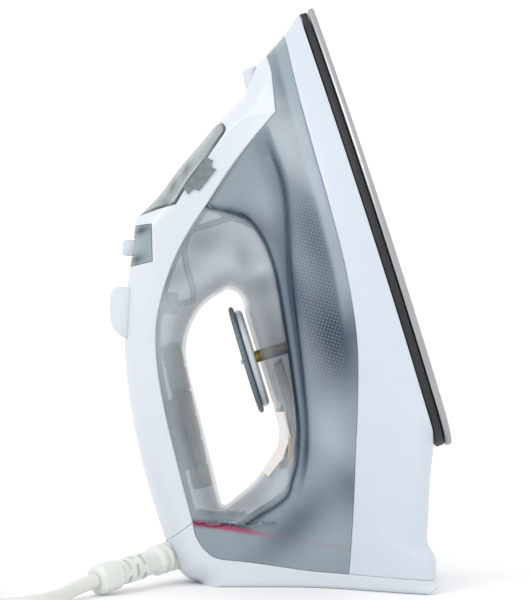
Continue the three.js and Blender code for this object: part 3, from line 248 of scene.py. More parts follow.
def beside(line: Array, places: Array) -> Array:
    """The distance to a line, positive on its left as it is walked and negative on its right.

    Args:
        line: the line's points in the side view.
        places: places in the side view, in mm.

    Returns:
        One signed distance in mm for each place.
    """
    start, step = line[:-1], np.diff(line, axis=0)
    away = places[:, None, :] - start[None]
    share = np.clip((away * step).sum(-1) / (step**2).sum(-1), 0, 1)
    gap = away - share[..., None] * step
    far = np.linalg.norm(gap, axis=-1)
    near = far.argmin(axis=1)
    pick = np.arange(len(places))
    cross = step[near, 0] * away[pick, near, 1] - step[near, 1] * away[pick, near, 0]
    return far[pick, near] * np.sign(cross)


def round_off(distance: Array, depth: Array | float, width: Array | float) -> Array:
    """What an elliptical fillet takes off a half width, depth in from an edge and width across."""
    left = 1 - np.clip(distance / depth, 0, 1)
    return width * (1 - np.sqrt(1 - left * left))


SOLE_HALF = 57.5  # half the sole's width where it is widest
SOLE_WIDEST = 50.0  # how far from the heel end that is
TIP_RUN = 176.0  # from there to the tip
TIP_POWER = 1.9  # how full the curve to the tip is
HEEL_TAPER = 7.5  # what a run of HEEL_RUN towards the heel takes off the half width
HEEL_RUN = 115.0
GRIP_HALF = 20.0  # half the grip's width


def sole_half_width(u: Array) -> Array:
    """Half the sole's width: nearly straight behind the middle, then a power curve to the tip.

    Args:
        u: places along the soleplate, in mm.

    Returns:
        Half widths in mm, one for each place.
    """
    u = np.asarray(u, float)
    behind = SOLE_HALF - HEEL_TAPER * ((SOLE_WIDEST - u) / HEEL_RUN) ** 2
    ahead = SOLE_HALF * (1 - (np.maximum(u - SOLE_WIDEST, 0) / TIP_RUN) ** TIP_POWER)
    return np.maximum(np.where(u < SOLE_WIDEST, behind, ahead), 0)


def body_half_width(places: Array) -> Array:
    """Half the body's width at places in the side view.

    The sole's width narrows with height to a grip of 20 mm, and fillets round it off towards the
    ridge, the nose, the hand opening, the back and the heel's rest face.

    Args:
        places: places in the side view, in mm.

    Returns:
        Half widths in mm, one for each place.
    """
    u, v = places[:, 0], places[:, 1]
    sole = sole_half_width(u)
    swept = sole * (1 - 0.66 * smooth(v, 14, 102))
    grip = np.minimum(GRIP_HALF, 0.8 * sole)
    whole = (swept + grip + np.hypot(swept - grip, 6)) / 2
    ahead = smooth(u, 120, 170)
    on_saddle = smooth(u, 16, 34) * (1 - smooth(u, 90, 108)) * (1 - smooth(v, 76, 92))
    taken = np.stack([
        round_off(distance_to(RIDGE_LINE, places), 14 - 5 * ahead, whole),
        round_off(distance_to(OPENING_LINE, places), 12 - 6 * on_saddle, whole - on_saddle),
        round_off(distance_to(NOSE_LINE, places), 6.0, whole),
        round_off(distance_to(BACK_LINE, places), 10.0, 9.0),
        round_off(distance_to(FLAT_LINE, places), 2.5, 2.5),
        round_off(distance_to(TOE_LINE, places), 3.0, 3.0),
    ])
    return np.maximum(whole - taken.max(axis=0), 0)


# ---------------------------------------------------------------- meshes
def mesh_object(name: str, verts: Array, faces: Sequence[Sequence[int]] | Array) -> bpy.types.Object:
    """A new object at the origin from points in metres and faces.

    Args:
        name: the piece's name.
        verts: points in metres.
        faces: the point numbers of each face.

    Returns:
        The new object.
    """
    mesh = bpy.data.meshes.new(name)
    mesh.from_pydata(np.asarray(verts, float).reshape(-1, 3).tolist(), [], [list(map(int, f)) for f in faces])
    mesh.validate()
    obj = bpy.data.objects.new(name, mesh)
    bpy.context.scene.collection.objects.link(obj)
    return obj


def grid_faces(rows: int, across: int, first: int = 0, close_rows: bool = False,
               close_across: bool = False) -> Array:
    """The quads of a grid of points stored row by row.

    Args:
        rows: how many rows the grid has.
        across: how many points a row has.
        first: the number of the grid's first point.
        close_rows: join the last row to the first.
        close_across: join each row's last point to its first.

    Returns:
        One row of four point numbers for each quad.
    """
    j = np.arange(rows if close_rows else rows - 1)[:, None]
    i = np.arange(across if close_across else across - 1)[None, :]
    here, there = j * across, ((j + 1) % rows) * across
    near, far = i, (i + 1) % across
    quads = np.stack([here + near, here + far, there + far, there + near], axis=-1)
    return quads.reshape(-1, 4) + first


WELD = 2e-6  # metres under which points merge


def tidy_mesh(obj: bpy.types.Object, sharp: float = 38.0) -> bpy.types.Object:
    """Merges doubled points, turns faces outwards and smooths all but the sharp edges.

    Args:
        obj: the object to work on.
        sharp: the angle in degrees past which an edge stays sharp.

    Returns:
        The same object.
    """
    bm = bmesh.new()
    bm.from_mesh(obj.data)
    bmesh.ops.remove_doubles(bm, verts=bm.verts, dist=WELD)
    bmesh.ops.dissolve_degenerate(bm, dist=WELD / 2, edges=bm.edges)
    bmesh.ops.recalc_face_normals(bm, faces=bm.faces)
    limit = math.radians(sharp)
    for face in bm.faces:
        face.smooth = True
    for edge in bm.edges:
        edge.smooth = len(edge.link_faces) == 2 and edge.calc_face_angle(0) < limit
    bm.to_mesh(obj.data)
    bm.free()
    return obj


def face_outwards_sideways(obj: bpy.types.Object) -> None:
    """Turns a two-sided shell over if its faces look towards the middle plane.

    Args:
        obj: the shell to look at.
    """
    mesh = obj.data
    normals = np.empty(len(mesh.polygons) * 3)
    centres = np.empty(len(mesh.polygons) * 3)
    areas = np.empty(len(mesh.polygons))
    mesh.polygons.foreach_get("normal", normals)
    mesh.polygons.foreach_get("center", centres)
    mesh.polygons.foreach_get("area", areas)
    looks = normals.reshape(-1, 3)[:, 1] * np.sign(centres.reshape(-1, 3)[:, 1]) * areas
    if looks.sum() < 0:
        mesh.flip_normals()


def settle(obj: bpy.types.Object) -> bpy.types.Object:
    """Applies an object's modifiers to its mesh.

    Args:
        obj: the object to work on.

    Returns:
        The same object, with no modifiers left.
    """
    seen = obj.evaluated_get(bpy.context.evaluated_depsgraph_get())
    mesh = bpy.data.meshes.new_from_object(seen)
    obj.modifiers.clear()
    obj.data = mesh
    return obj


def thicken(obj: bpy.types.Object, wall: float) -> bpy.types.Object:
    """Gives a shell a wall of that many mm inside its surface.

    Args:
        obj: the shell.
        wall: its thickness in mm.

    Returns:
        The same object.
    """
    modifier = obj.modifiers.new("wall", "SOLIDIFY")
    modifier.thickness = wall * MM
    modifier.offset = -1
    return settle(obj)


class Cut(Enum):
    """How one closed mesh works on another."""

    AWAY = "DIFFERENCE"
    SHARED = "INTERSECT"
    JOINED = "UNION"


def carve(obj: bpy.types.Object, how: Cut, *tools: bpy.types.Object) -> bpy.types.Object:
    """Works the tools on an object one by one and throws them away.

    Args:
        obj: the closed mesh to work on.
        how: what the tools do to it.
        tools: closed meshes, which are used up.

    Returns:
        The same object.
    """
    for tool in tools:
        modifier = obj.modifiers.new("cut", "BOOLEAN")
        modifier.operation = how.value
        modifier.solver = "MANIFOLD"
        modifier.object = tool
        bpy.context.view_layer.update()
        settle(obj)
        bpy.data.objects.remove(tool)
    return tidy_mesh(obj)


def copied(obj: bpy.types.Object, name: str) -> bpy.types.Object:
    """A copy of an object under another name.

    Args:
        obj: the object to copy.
        name: the copy's name.

    Returns:
        The copy.
    """
    twin = obj.copy()
    twin.data = obj.data.copy()
    twin.name = name
    bpy.context.scene.collection.objects.link(twin)
    return twin


def sideways_prism(name: str, outline: Sequence[Place] | Array, reach: Array | float) -> bpy.types.Object:
    """A closed prism across the iron over an outline in the side view, reach mm to each side.

    Args:
        name: the piece's name.
        outline: places in the side view, right round.
        reach: mm to each side, for all places or for each.

    Returns:
        The new object.
    """
    places = np.asarray(outline, float)
    n = len(places)
    sides = [SOLE.row(places[:, 0], places[:, 1], side * reach) for side in (1, -1)]
    around = [[i, (i + 1) % n, n + (i + 1) % n, n + i] for i in range(n)]
    faces = [list(range(n)), list(range(2 * n - 1, n - 1, -1)), *around]
    return tidy_mesh(mesh_object(name, np.vstack(sides), faces))


def grown(outline: Sequence[Place], far: float) -> Array:
    """A closed outline moved outwards by a distance, each corner along its two sides' mitre.

    Args:
        outline: places in the side view, right round.
        far: the distance in mm; a negative one shrinks it.

    Returns:
        The moved places.
    """
    p = np.asarray(outline, float)
    step = np.roll(p, -1, axis=0) - p
    area = (p[:, 0] * np.roll(p, -1, axis=0)[:, 1] - p[:, 1] * np.roll(p, -1, axis=0)[:, 0]).sum()
    out = np.stack([step[:, 1], -step[:, 0]], axis=1) * np.sign(area)
    out /= np.linalg.norm(out, axis=1)[:, None]
    before = np.roll(out, 1, axis=0)
    mitre = out + before
    mitre *= (2 * far / np.maximum((mitre**2).sum(axis=1), 0.4))[:, None]
    return p + mitre


def frames_along(path: Array) -> tuple[Array, Array, Array]:
    """Unit tangents of a path, and two unit directions across it that turn as little as they can.

    Args:
        path: points along the path.

    Returns:
        The tangents, and both directions across.
    """
    tangent = np.gradient(path, axis=0)
    tangent /= np.linalg.norm(tangent, axis=1)[:, None]
    side = np.empty_like(tangent)
    start = np.cross(tangent[0], [0.0, 0.0, 1.0])
    side[0] = start / np.linalg.norm(start) if np.linalg.norm(start) > 1e-6 else [1.0, 0.0, 0.0]
    for k in range(1, len(path)):
        carried = side[k - 1] - tangent[k] * (side[k - 1] @ tangent[k])
        side[k] = carried / np.linalg.norm(carried)
    return tangent, side, np.cross(tangent, side)


def swept(name: str, path: Array, radius: Array | float, around: int = 12) -> bpy.types.Object:
    """A closed round tube along a path of points in metres: rings of a radius, capped at both ends.

    Args:
        name: the piece's name.
        path: points in metres.
        radius: the rings' radius in metres, for all or for each.
        around: how many points a ring has.

    Returns:
        The new object.
    """
    _, side, over = frames_along(path)
    angle = np.linspace(0, 2 * math.pi, around, endpoint=False)
    reach = np.broadcast_to(np.asarray(radius, float), (len(path),))[:, None, None]
    ring = np.cos(angle)[None, :, None] * side[:, None] + np.sin(angle)[None, :, None] * over[:, None]
    points = path[:, None] + reach * ring
    faces = [list(f) for f in grid_faces(len(path), around, close_across=True)]
    last = (len(path) - 1) * around
    faces += [list(range(around - 1, -1, -1)), list(range(last, last + around))]
    return tidy_mesh(mesh_object(name, points, faces))


def turned(name: str, profile: Sequence[Place] | Array, origin: Vector, axis: Vector, around: int = 64,
           ribs: Callable[[Array, Array], Array] | None = None) -> bpy.types.Object:
    """A turned piece: a profile of [radius, distance] in mm carried round an axis.

    Args:
        name: the piece's name.
        profile: the profile, whose ends lie on the axis or meet.
        origin: the point that distances are counted from, in metres.
        axis: the direction they are counted in.
        around: how many steps a turn has.
        ribs: mm to take off the radius, from the angle and the profile's share.

    Returns:
        The new object.
    """
    p = np.asarray(profile, float)
    line = np.array(axis.normalized())
    across = np.array(axis.orthogonal().normalized())
    over = np.cross(line, across)
    angle = np.linspace(0, 2 * math.pi, around, endpoint=False)[None, :]
    share = np.linspace(0, 1, len(p))[:, None]
    radius = p[:, :1] - (ribs(angle, share) if ribs else 0 * angle)
    radius = np.where(p[:, :1] < 1e-6, 0, np.maximum(radius, 0))
    points = (
        np.array(origin)
        + MM * radius[..., None] * (np.cos(angle)[..., None] * across + np.sin(angle)[..., None] * over)
        + MM * p[:, 1, None, None] * line
    )
    return tidy_mesh(mesh_object(name, points, grid_faces(len(p), around, close_across=True)))


def softened(profile: Sequence[Place], bend: float, steps: int = 4) -> Array:
    """A profile whose inner corners are rounded: each becomes a short arc that cuts it by bend mm.

    Args:
        profile: places in order.
        bend: how far an arc starts from its corner, in mm.
        steps: how many steps an arc has.

    Returns:
        The rounded profile's places.
    """
    p = np.asarray(profile, float)
    rounded = [p[:1]]
    for before, corner, after in zip(p[:-2], p[1:-1], p[2:]):
        back, on = before - corner, after - corner
        reach = min(bend, 0.45 * np.linalg.norm(back), 0.45 * np.linalg.norm(on))
        first = corner + back / np.linalg.norm(back) * reach
        last = corner + on / np.linalg.norm(on) * reach
        s = np.linspace(0, 1, steps + 1)[:, None]
        rounded.append((1 - s) ** 2 * first + 2 * s * (1 - s) * corner + s**2 * last)
    return np.vstack([*rounded, p[-1:]])


def repeated(count: int, shape: Sequence[Place], step: Place) -> list[Place]:
    """A stretch of a profile repeated, moved on by a step of [radius, distance] each time."""
    return [(r + step[0] * i, d + step[1] * i) for i in range(count) for r, d in shape]


# ---------------------------------------------------------------- finishes
def linear(color: Sequence[float]) -> tuple[float, float, float, float]:
    """A display colour of 0 to 255 as the linear one that shaders take.

    Args:
        color: red, green and blue.

    Returns:
        Linear red, green and blue, and full opacity.
    """
    c = np.asarray(color, float) / 255
    low = c / 12.92
    high = ((c + 0.055) / 1.055) ** 2.4
    return (*np.where(c <= 0.04045, low, high).tolist(), 1.0)


@dataclass
class Nodes:
    """A material's node tree, with short ways to add to it."""

    name: str
    material: bpy.types.Material = field(init=False)

    def __post_init__(self) -> None:
        """Starts the material with a Principled shader and its output."""
        self.material = bpy.data.materials.new(self.name)
        self.material.use_nodes = True
        self.shader = self.material.node_tree.nodes["Principled BSDF"]

    def add(self, kind: str, values: dict | None = None, **settings: object) -> bpy.types.Node:
        """A new node.

        Args:
            kind: the node's type, without ShaderNode.
            values: what goes into its inputs: a socket to link, or a plain value.
            settings: the node's own properties.

        Returns:
            The node.
        """
        node = self.material.node_tree.nodes.new("ShaderNode" + kind)
        for key, value in settings.items():
            setattr(node, key, value)
        for key, value in (values or {}).items():
            self.put(node, key, value)
        return node

    def put(self, node: bpy.types.Node, key: str | int, value: object) -> None:
        """Links a socket to an input, or sets the input's own value.

        Args:
            node: the node.
            key: the input's name or number.
            value: a socket, or a plain value.
        """
        if isinstance(value, bpy.types.NodeSocket):
            self.material.node_tree.links.new(value, node.inputs[key])
        else:
            node.inputs[key].default_value = value

    def noise(self, where: bpy.types.NodeSocket, size: float, detail: float = 3.0) -> bpy.types.NodeSocket:
        """Cloudy noise whose lumps are about that many mm across."""
        node = self.add("TexNoise", {"Vector": where, "Scale": 1 / (size * MM), "Detail": detail})
        return node.outputs["Fac"]

    def blend(self, share: object, a: object, b: object) -> bpy.types.NodeSocket:
        """A colour between a and b.

        Args:
            share: how much of b shows.
            a: the colour at 0.
            b: the colour at 1.

        Returns:
            The blended colour.
        """
        node = self.add("Mix", data_type="RGBA")
        for key, value in ((0, share), (6, a), (7, b)):
            self.put(node, key, value)
        return node.outputs[2]

    def spread(self, value: bpy.types.NodeSocket, low: float, high: float) -> bpy.types.NodeSocket:
        """A value of 0 to 1 as one from low to high."""
        node = self.add("MapRange", {"Value": value, "To Min": low, "To Max": high})
        return node.outputs["Result"]

    def bump(self, height: bpy.types.NodeSocket, depth: float,
             under: bpy.types.NodeSocket | None = None) -> bpy.types.NodeSocket:
        """A normal from a height of 0 to 1 that stands for depth mm.

        Args:
            height: the height.
            depth: what a height of 1 stands for, in mm.
            under: a normal that this one adds to.

        Returns:
            The normal.
        """
        node = self.add("Bump", {"Height": height, "Distance": depth * MM, "Strength": 1.0})
        if under is not None:
            self.put(node, "Normal", under)
        return node.outputs["Normal"]


@dataclass(frozen=True)
class Moulded:
    """Moulded plastic or rubber: a colour that drifts a little, and a fine skin texture."""

    name: str
    color: tuple[int, int, int]
    roughness: float = 0.3
    coat: float = 0.0
    alpha: float = 1.0
    drift: float = 0.05
    drift_size: float = 22.0
    grain: float = 0.012
    grain_size: float = 0.5
    glow: float = 0.0

    def material(self) -> bpy.types.Material:
        """The finish as a material.

        Returns:
            The new material.
        """
        n = Nodes(f"{self.name} finish")
        where = n.add("TexCoord").outputs["Object"]
        self.dress(n, where)
        n.put(n.shader, "Alpha", self.alpha)
        n.put(n.shader, "Coat Weight", self.coat)
        n.put(n.shader, "Coat Roughness", 0.06)
        n.put(n.shader, "IOR", 1.48)
        return n.material

    def dress(self, n: Nodes, where: bpy.types.NodeSocket) -> None:
        """Colour, roughness and skin texture by place.

        Args:
            n: the node tree to add to.
            where: the piece's own coordinates.
        """
        cloud = n.noise(where, self.drift_size)
        dark = tuple(c * (1 - self.drift) for c in self.color)
        n.put(n.shader, "Base Color", n.blend(cloud, linear(dark), linear(self.color)))
        fine = n.noise(where, self.grain_size, 2.0)
        low, high = self.roughness * 0.85, self.roughness * 1.2
        n.put(n.shader, "Roughness", n.spread(n.noise(where, 7.0), low, high))
        n.put(n.shader, "Normal", n.bump(fine, self.grain))
        if self.glow:
            n.put(n.shader, "Subsurface Weight", self.glow)
            n.put(n.shader, "Subsurface Radius", (0.004, 0.003, 0.0025))


@dataclass(frozen=True)
class SmokyTank(Moulded):
    """Smoky clear plastic with a panel of raised dots; its colour follows the mesh's tone attribute, which
    holds the tint together with painted shade and painted highlights.
    """

    # dark: the colour where the tone is lowest, which stands for deep tint and painted shade alike.
    dark: tuple[int, int, int] = (58, 76, 94)
    warm: tuple[int, int, int] = (176, 168, 158)
    warm_dark: tuple[int, int, int] = (78, 76, 74)
    dot_pale: tuple[int, int, int] = (196, 208, 216)
    seal: tuple[int, int, int] = (150, 62, 98)
    dot_pitch: float = 1.6
    dot_depth: float = 0.12

    def dress(self, n: Nodes, where: bpy.types.NodeSocket) -> None:
        """The colour follows the tone attribute, which holds the tint together with painted shade and painted
        highlights, and the dots show where the panel attribute is 1.

        Args:
            n: the node tree to add to.
            where: the piece's own coordinates.
        """
        tint_and_shade = n.add("Attribute", attribute_name="tint_and_shade").outputs["Fac"]
        panel = n.add("Attribute", attribute_name="panel").outputs["Fac"]
        cloud = n.noise(where, 26.0, 2.0)
        wavy_tint_and_shade = n.add("Math", {0: tint_and_shade, 1: n.spread(cloud, -0.09, 0.09)}, operation="ADD").outputs[0]
        base = n.blend(wavy_tint_and_shade, linear(self.dark), linear(self.color))
        flat = n.add("Mapping", {"Vector": where, "Rotation": (0, -SOLE.lean, 0), "Scale": (1, 0, 1)})
        dots = n.add("TexVoronoi", {
            "Vector": flat.outputs[0], "Scale": 1 / (self.dot_pitch * MM), "Randomness": 0.0,
        })
        height = n.add("MapRange", {
            "Value": dots.outputs["Distance"], "From Min": 0.14, "From Max": 0.3,
            "To Min": 1.0, "To Max": 0.0,
        }).outputs["Result"]
        shown = n.add("Math", {0: height, 1: panel}, operation="MULTIPLY").outputs[0]
        pale = n.add("Math", {0: shown, 1: 0.22}, operation="MULTIPLY").outputs[0]
        blush = n.add("Attribute", attribute_name="blush").outputs["Fac"]
        warm = n.spread(n.noise(where, 34.0, 1.0), -0.5, 1.0)
        tan = n.add("Math", {0: warm, 1: 0.32}, operation="MULTIPLY", use_clamp=True).outputs[0]
        tinted_and_shaded = n.blend(tan, base, n.blend(wavy_tint_and_shade, linear(self.warm_dark), linear(self.warm)))
        dotted = n.blend(pale, tinted_and_shaded, linear(self.dot_pale))
        n.put(n.shader, "Base Color", n.blend(blush, dotted, linear(self.seal)))
        worn = n.noise(where, 9.0)
        n.put(n.shader, "Roughness", n.spread(worn, self.roughness * 0.8, self.roughness * 1.3))
        skin = n.bump(n.noise(where, 0.6, 2.0), self.grain)
        n.put(n.shader, "Normal", n.bump(shown, self.dot_depth, under=skin))


@dataclass(frozen=True)
class Metal:
    """Bare metal with fine drawn streaks along one direction."""

    name: str
    color: tuple[int, int, int]
    roughness: float = 0.28
    streak: float = 0.14
    stretch: tuple[float, float, float] = (1.0, 1.0, 1.0)

    def material(self) -> bpy.types.Material:
        """The finish as a material.

        Returns:
            The new material.
        """
        n = Nodes(f"{self.name} finish")
        where = n.add("TexCoord").outputs["Object"]
        turned_on = n.add("Mapping", {"Vector": where, "Rotation": (0, -SOLE.lean, 0), "Scale": self.stretch})
        lines = n.noise(turned_on.outputs[0], 0.5, 3.0)
        worn = n.noise(where, 30.0, 4.0)
        dark = tuple(c * 0.86 for c in self.color)
        n.put(n.shader, "Base Color", n.blend(n.spread(worn, 0.2, 1.0), linear(dark), linear(self.color)))
        n.put(n.shader, "Metallic", 1.0)
        n.put(n.shader, "Roughness", n.spread(lines, self.roughness - self.streak / 2,
                                              self.roughness + self.streak))
        n.put(n.shader, "Normal", n.bump(lines, 0.006))
        return n.material


class Look(Enum):
    """Every finish of the iron."""

    WHITE = Moulded("white_plastic", (205, 211, 218), 0.3, coat=0.1, drift=0.02, grain=0.003, glow=0.04)
    SKIRT = Moulded("skirt_plastic", (198, 206, 216), 0.32, coat=0.1, drift=0.02, grain=0.003, glow=0.04)
    TANK = SmokyTank("smoky_tank", (154, 170, 181), 0.2, coat=0.15, alpha=0.94, dark=(30, 54, 76))
    HANDLE = SmokyTank("smoky_handle", (186, 200, 210), 0.18, coat=0.15, alpha=0.4, dark=(18, 44, 68))
    LID = SmokyTank("clear_lid", (178, 190, 191), 0.14, coat=0.3, alpha=0.7, dark=(52, 64, 68), drift=0.1)
    LID_EDGE = Moulded("lid_edge", (92, 104, 110), 0.2, coat=0.3, alpha=0.8, drift=0.2, drift_size=4)
    LATCH = Moulded("lid_latch", (146, 160, 163), 0.16, coat=0.4, alpha=0.72, drift=0.35, drift_size=3.2)
    BEZEL = SmokyTank("bezel_plastic", (150, 170, 178), 0.18, coat=0.3, alpha=0.85, dark=(34, 48, 52))
    BAND = Moulded("heat_shield", (32, 35, 36), 0.5, drift=0.15, grain=0.03, grain_size=0.7)
    STEEL = Metal("sole_steel", (176, 178, 180), 0.3, stretch=(1.0, 1.0, 0.04))
    PLAIN_STEEL = Metal("plain_steel", (176, 179, 182), 0.34)
    CAST = Metal("cast_aluminium", (168, 170, 172), 0.5, 0.2)
    BRASS = Metal("brass", (196, 166, 96), 0.32)
    SILVER = Moulded("silver_plastic", (196, 206, 212), 0.28, coat=0.3, drift=0.04)
    GRIP = Moulded("grey_grip", (104, 116, 122), 0.4, drift=0.1)
    KNOB = Moulded("knob_plastic", (206, 215, 221), 0.28, coat=0.2, drift=0.03)
    MILKY = Moulded("milky_lens", (247, 238, 232), 0.22, coat=0.4, alpha=0.93, drift=0.03, glow=0.3)
    AMBER = Moulded("amber_lamp", (214, 96, 44), 0.2, coat=0.5, drift=0.1)
    CREAM = Moulded("cream_plastic", (214, 209, 196), 0.42, drift=0.07)
    TAN = Moulded("tan_housing", (190, 172, 150), 0.42, drift=0.12, drift_size=12)
    SEAL = Moulded("seal_rubber", (176, 62, 96), 0.5, drift=0.1)
    NAVY = Moulded("relay_case", (52, 74, 104), 0.4, drift=0.08)
    DARK = Moulded("dark_case", (64, 76, 84), 0.42, drift=0.12)
    BOARD = Moulded("circuit_board", (78, 92, 96), 0.36, drift=0.22, drift_size=3.5)
    WIRE = Moulded("wire_sleeve", (196, 104, 84), 0.55, drift=0.1)
    CORD = Moulded("cord_cover", (218, 221, 215), 0.46, drift=0.03, grain=0.03, grain_size=0.8, glow=0.05)
    GUARD = Moulded("guard_rubber", (220, 224, 218), 0.42, drift=0.03, grain=0.02, glow=0.05)

    def material(self) -> bpy.types.Material:
        """The finish's material, made once."""
        return bpy.data.materials.get(f"{self.value.name} finish") or self.value.material()


ROOT = "housing"


def finished(obj: bpy.types.Object, look: Look, body: str = ROOT,
             nodes: Sequence[str] = ()) -> bpy.types.Object:
    """Dresses a new piece, sets it riding and hides the CAD nodes that it stands for.

    Args:
        obj: the piece.
        look: its finish.
        body: the moving body that it rides on.
        nodes: the CAD nodes that it stands for.

    Returns:
        The same piece.
    """
    obj.data.materials.clear()
    obj.data.materials.append(look.material())
    if nodes:
        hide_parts(*nodes)
    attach(obj, body)
    log.info("%s: %d faces on %s", obj.name, len(obj.data.polygons), body)
    return obj


def points_of(obj: bpy.types.Object) -> Array:
    """An object's points in metres.

    Args:
        obj: the object.

    Returns:
        One row of x, y and z for each point.
    """
    points = np.empty(len(obj.data.vertices) * 3)
    obj.data.vertices.foreach_get("co", points)
    return points.reshape(-1, 3)


def side_view(points: Array) -> Array:
    """Points of the standing frame, in metres, as places in the side view.

    Args:
        points: points in metres.

    Returns:
        One row of [u, v] in mm for each point.
    """
    p = points / MM
    c, s = math.cos(SOLE.lean), math.sin(SOLE.lean)
    mid = np.array([SOLE.heel_back, SOLE.heel_front]).mean(axis=0)
    return np.stack([mid[0] - s * p[:, 0] + c * p[:, 2], mid[1] - c * p[:, 0] - s * p[:, 2]], axis=1)


def give_attribute(obj: bpy.types.Object, name: str, value: Callable[[Array], Array]) -> None:
    """Stores a value of 0 to 1 on each point, worked out from its place in the side view.

    Args:
        obj: the piece.
        name: the attribute's name.
        value: works the values out from places.
    """
    made = np.clip(value(side_view(points_of(obj))), 0, 1).astype(np.float32)
    layer = obj.data.attributes.new(name, "FLOAT", "POINT")
    layer.data.foreach_set("value", made)


def tinted_and_shaded(obj: bpy.types.Object, tint_and_shade: Callable[[Array], Array]) -> None:
    """Stores the tint and the painted shade of a clear piece that has no dotted panel and no seal behind it.

    Args:
        obj: the piece.
        tint_and_shade: works the tint and the painted shade out from places.
    """
    give_attribute(obj, "tint_and_shade", tint_and_shade)
    for name in ("panel", "blush"):
        give_attribute(obj, name, lambda places: 0 * places[:, 0])


@dataclass(frozen=True)
class Cloud:
    """A soft patch in the side view: its middle, its two sizes along and up, and its strength."""

    u: float
    v: float
    long: float
    high: float
    strength: float
    tilt: float = 0.0

    def at(self, places: Array) -> Array:
        """The patch's strength at places.

        Args:
            places: places in the side view, in mm.

        Returns:
            One value for each place.
        """
        du, dv = places[:, 0] - self.u, places[:, 1] - self.v
        c, s = math.cos(self.tilt), math.sin(self.tilt)
        return self.strength * np.exp(-(((c * du + s * dv) / self.long) ** 2)
                                      - ((c * dv - s * du) / self.high) ** 2)


def clouded(level: float, clouds: Sequence[Cloud], places: Array) -> Array:
    """A level with soft patches added."""
    return level + sum(cloud.at(places) for cloud in clouds)


# ---------------------------------------------------------------- the shells
EDGE_ROLL = 0.7  # mm by which a shell's edge turns in at a seam
NEAR_EDGE = (0.0, 0.03, 0.07, 0.13, 0.25)  # rows this many steps from a strip's ends
Relief = Callable[[Array], Array]


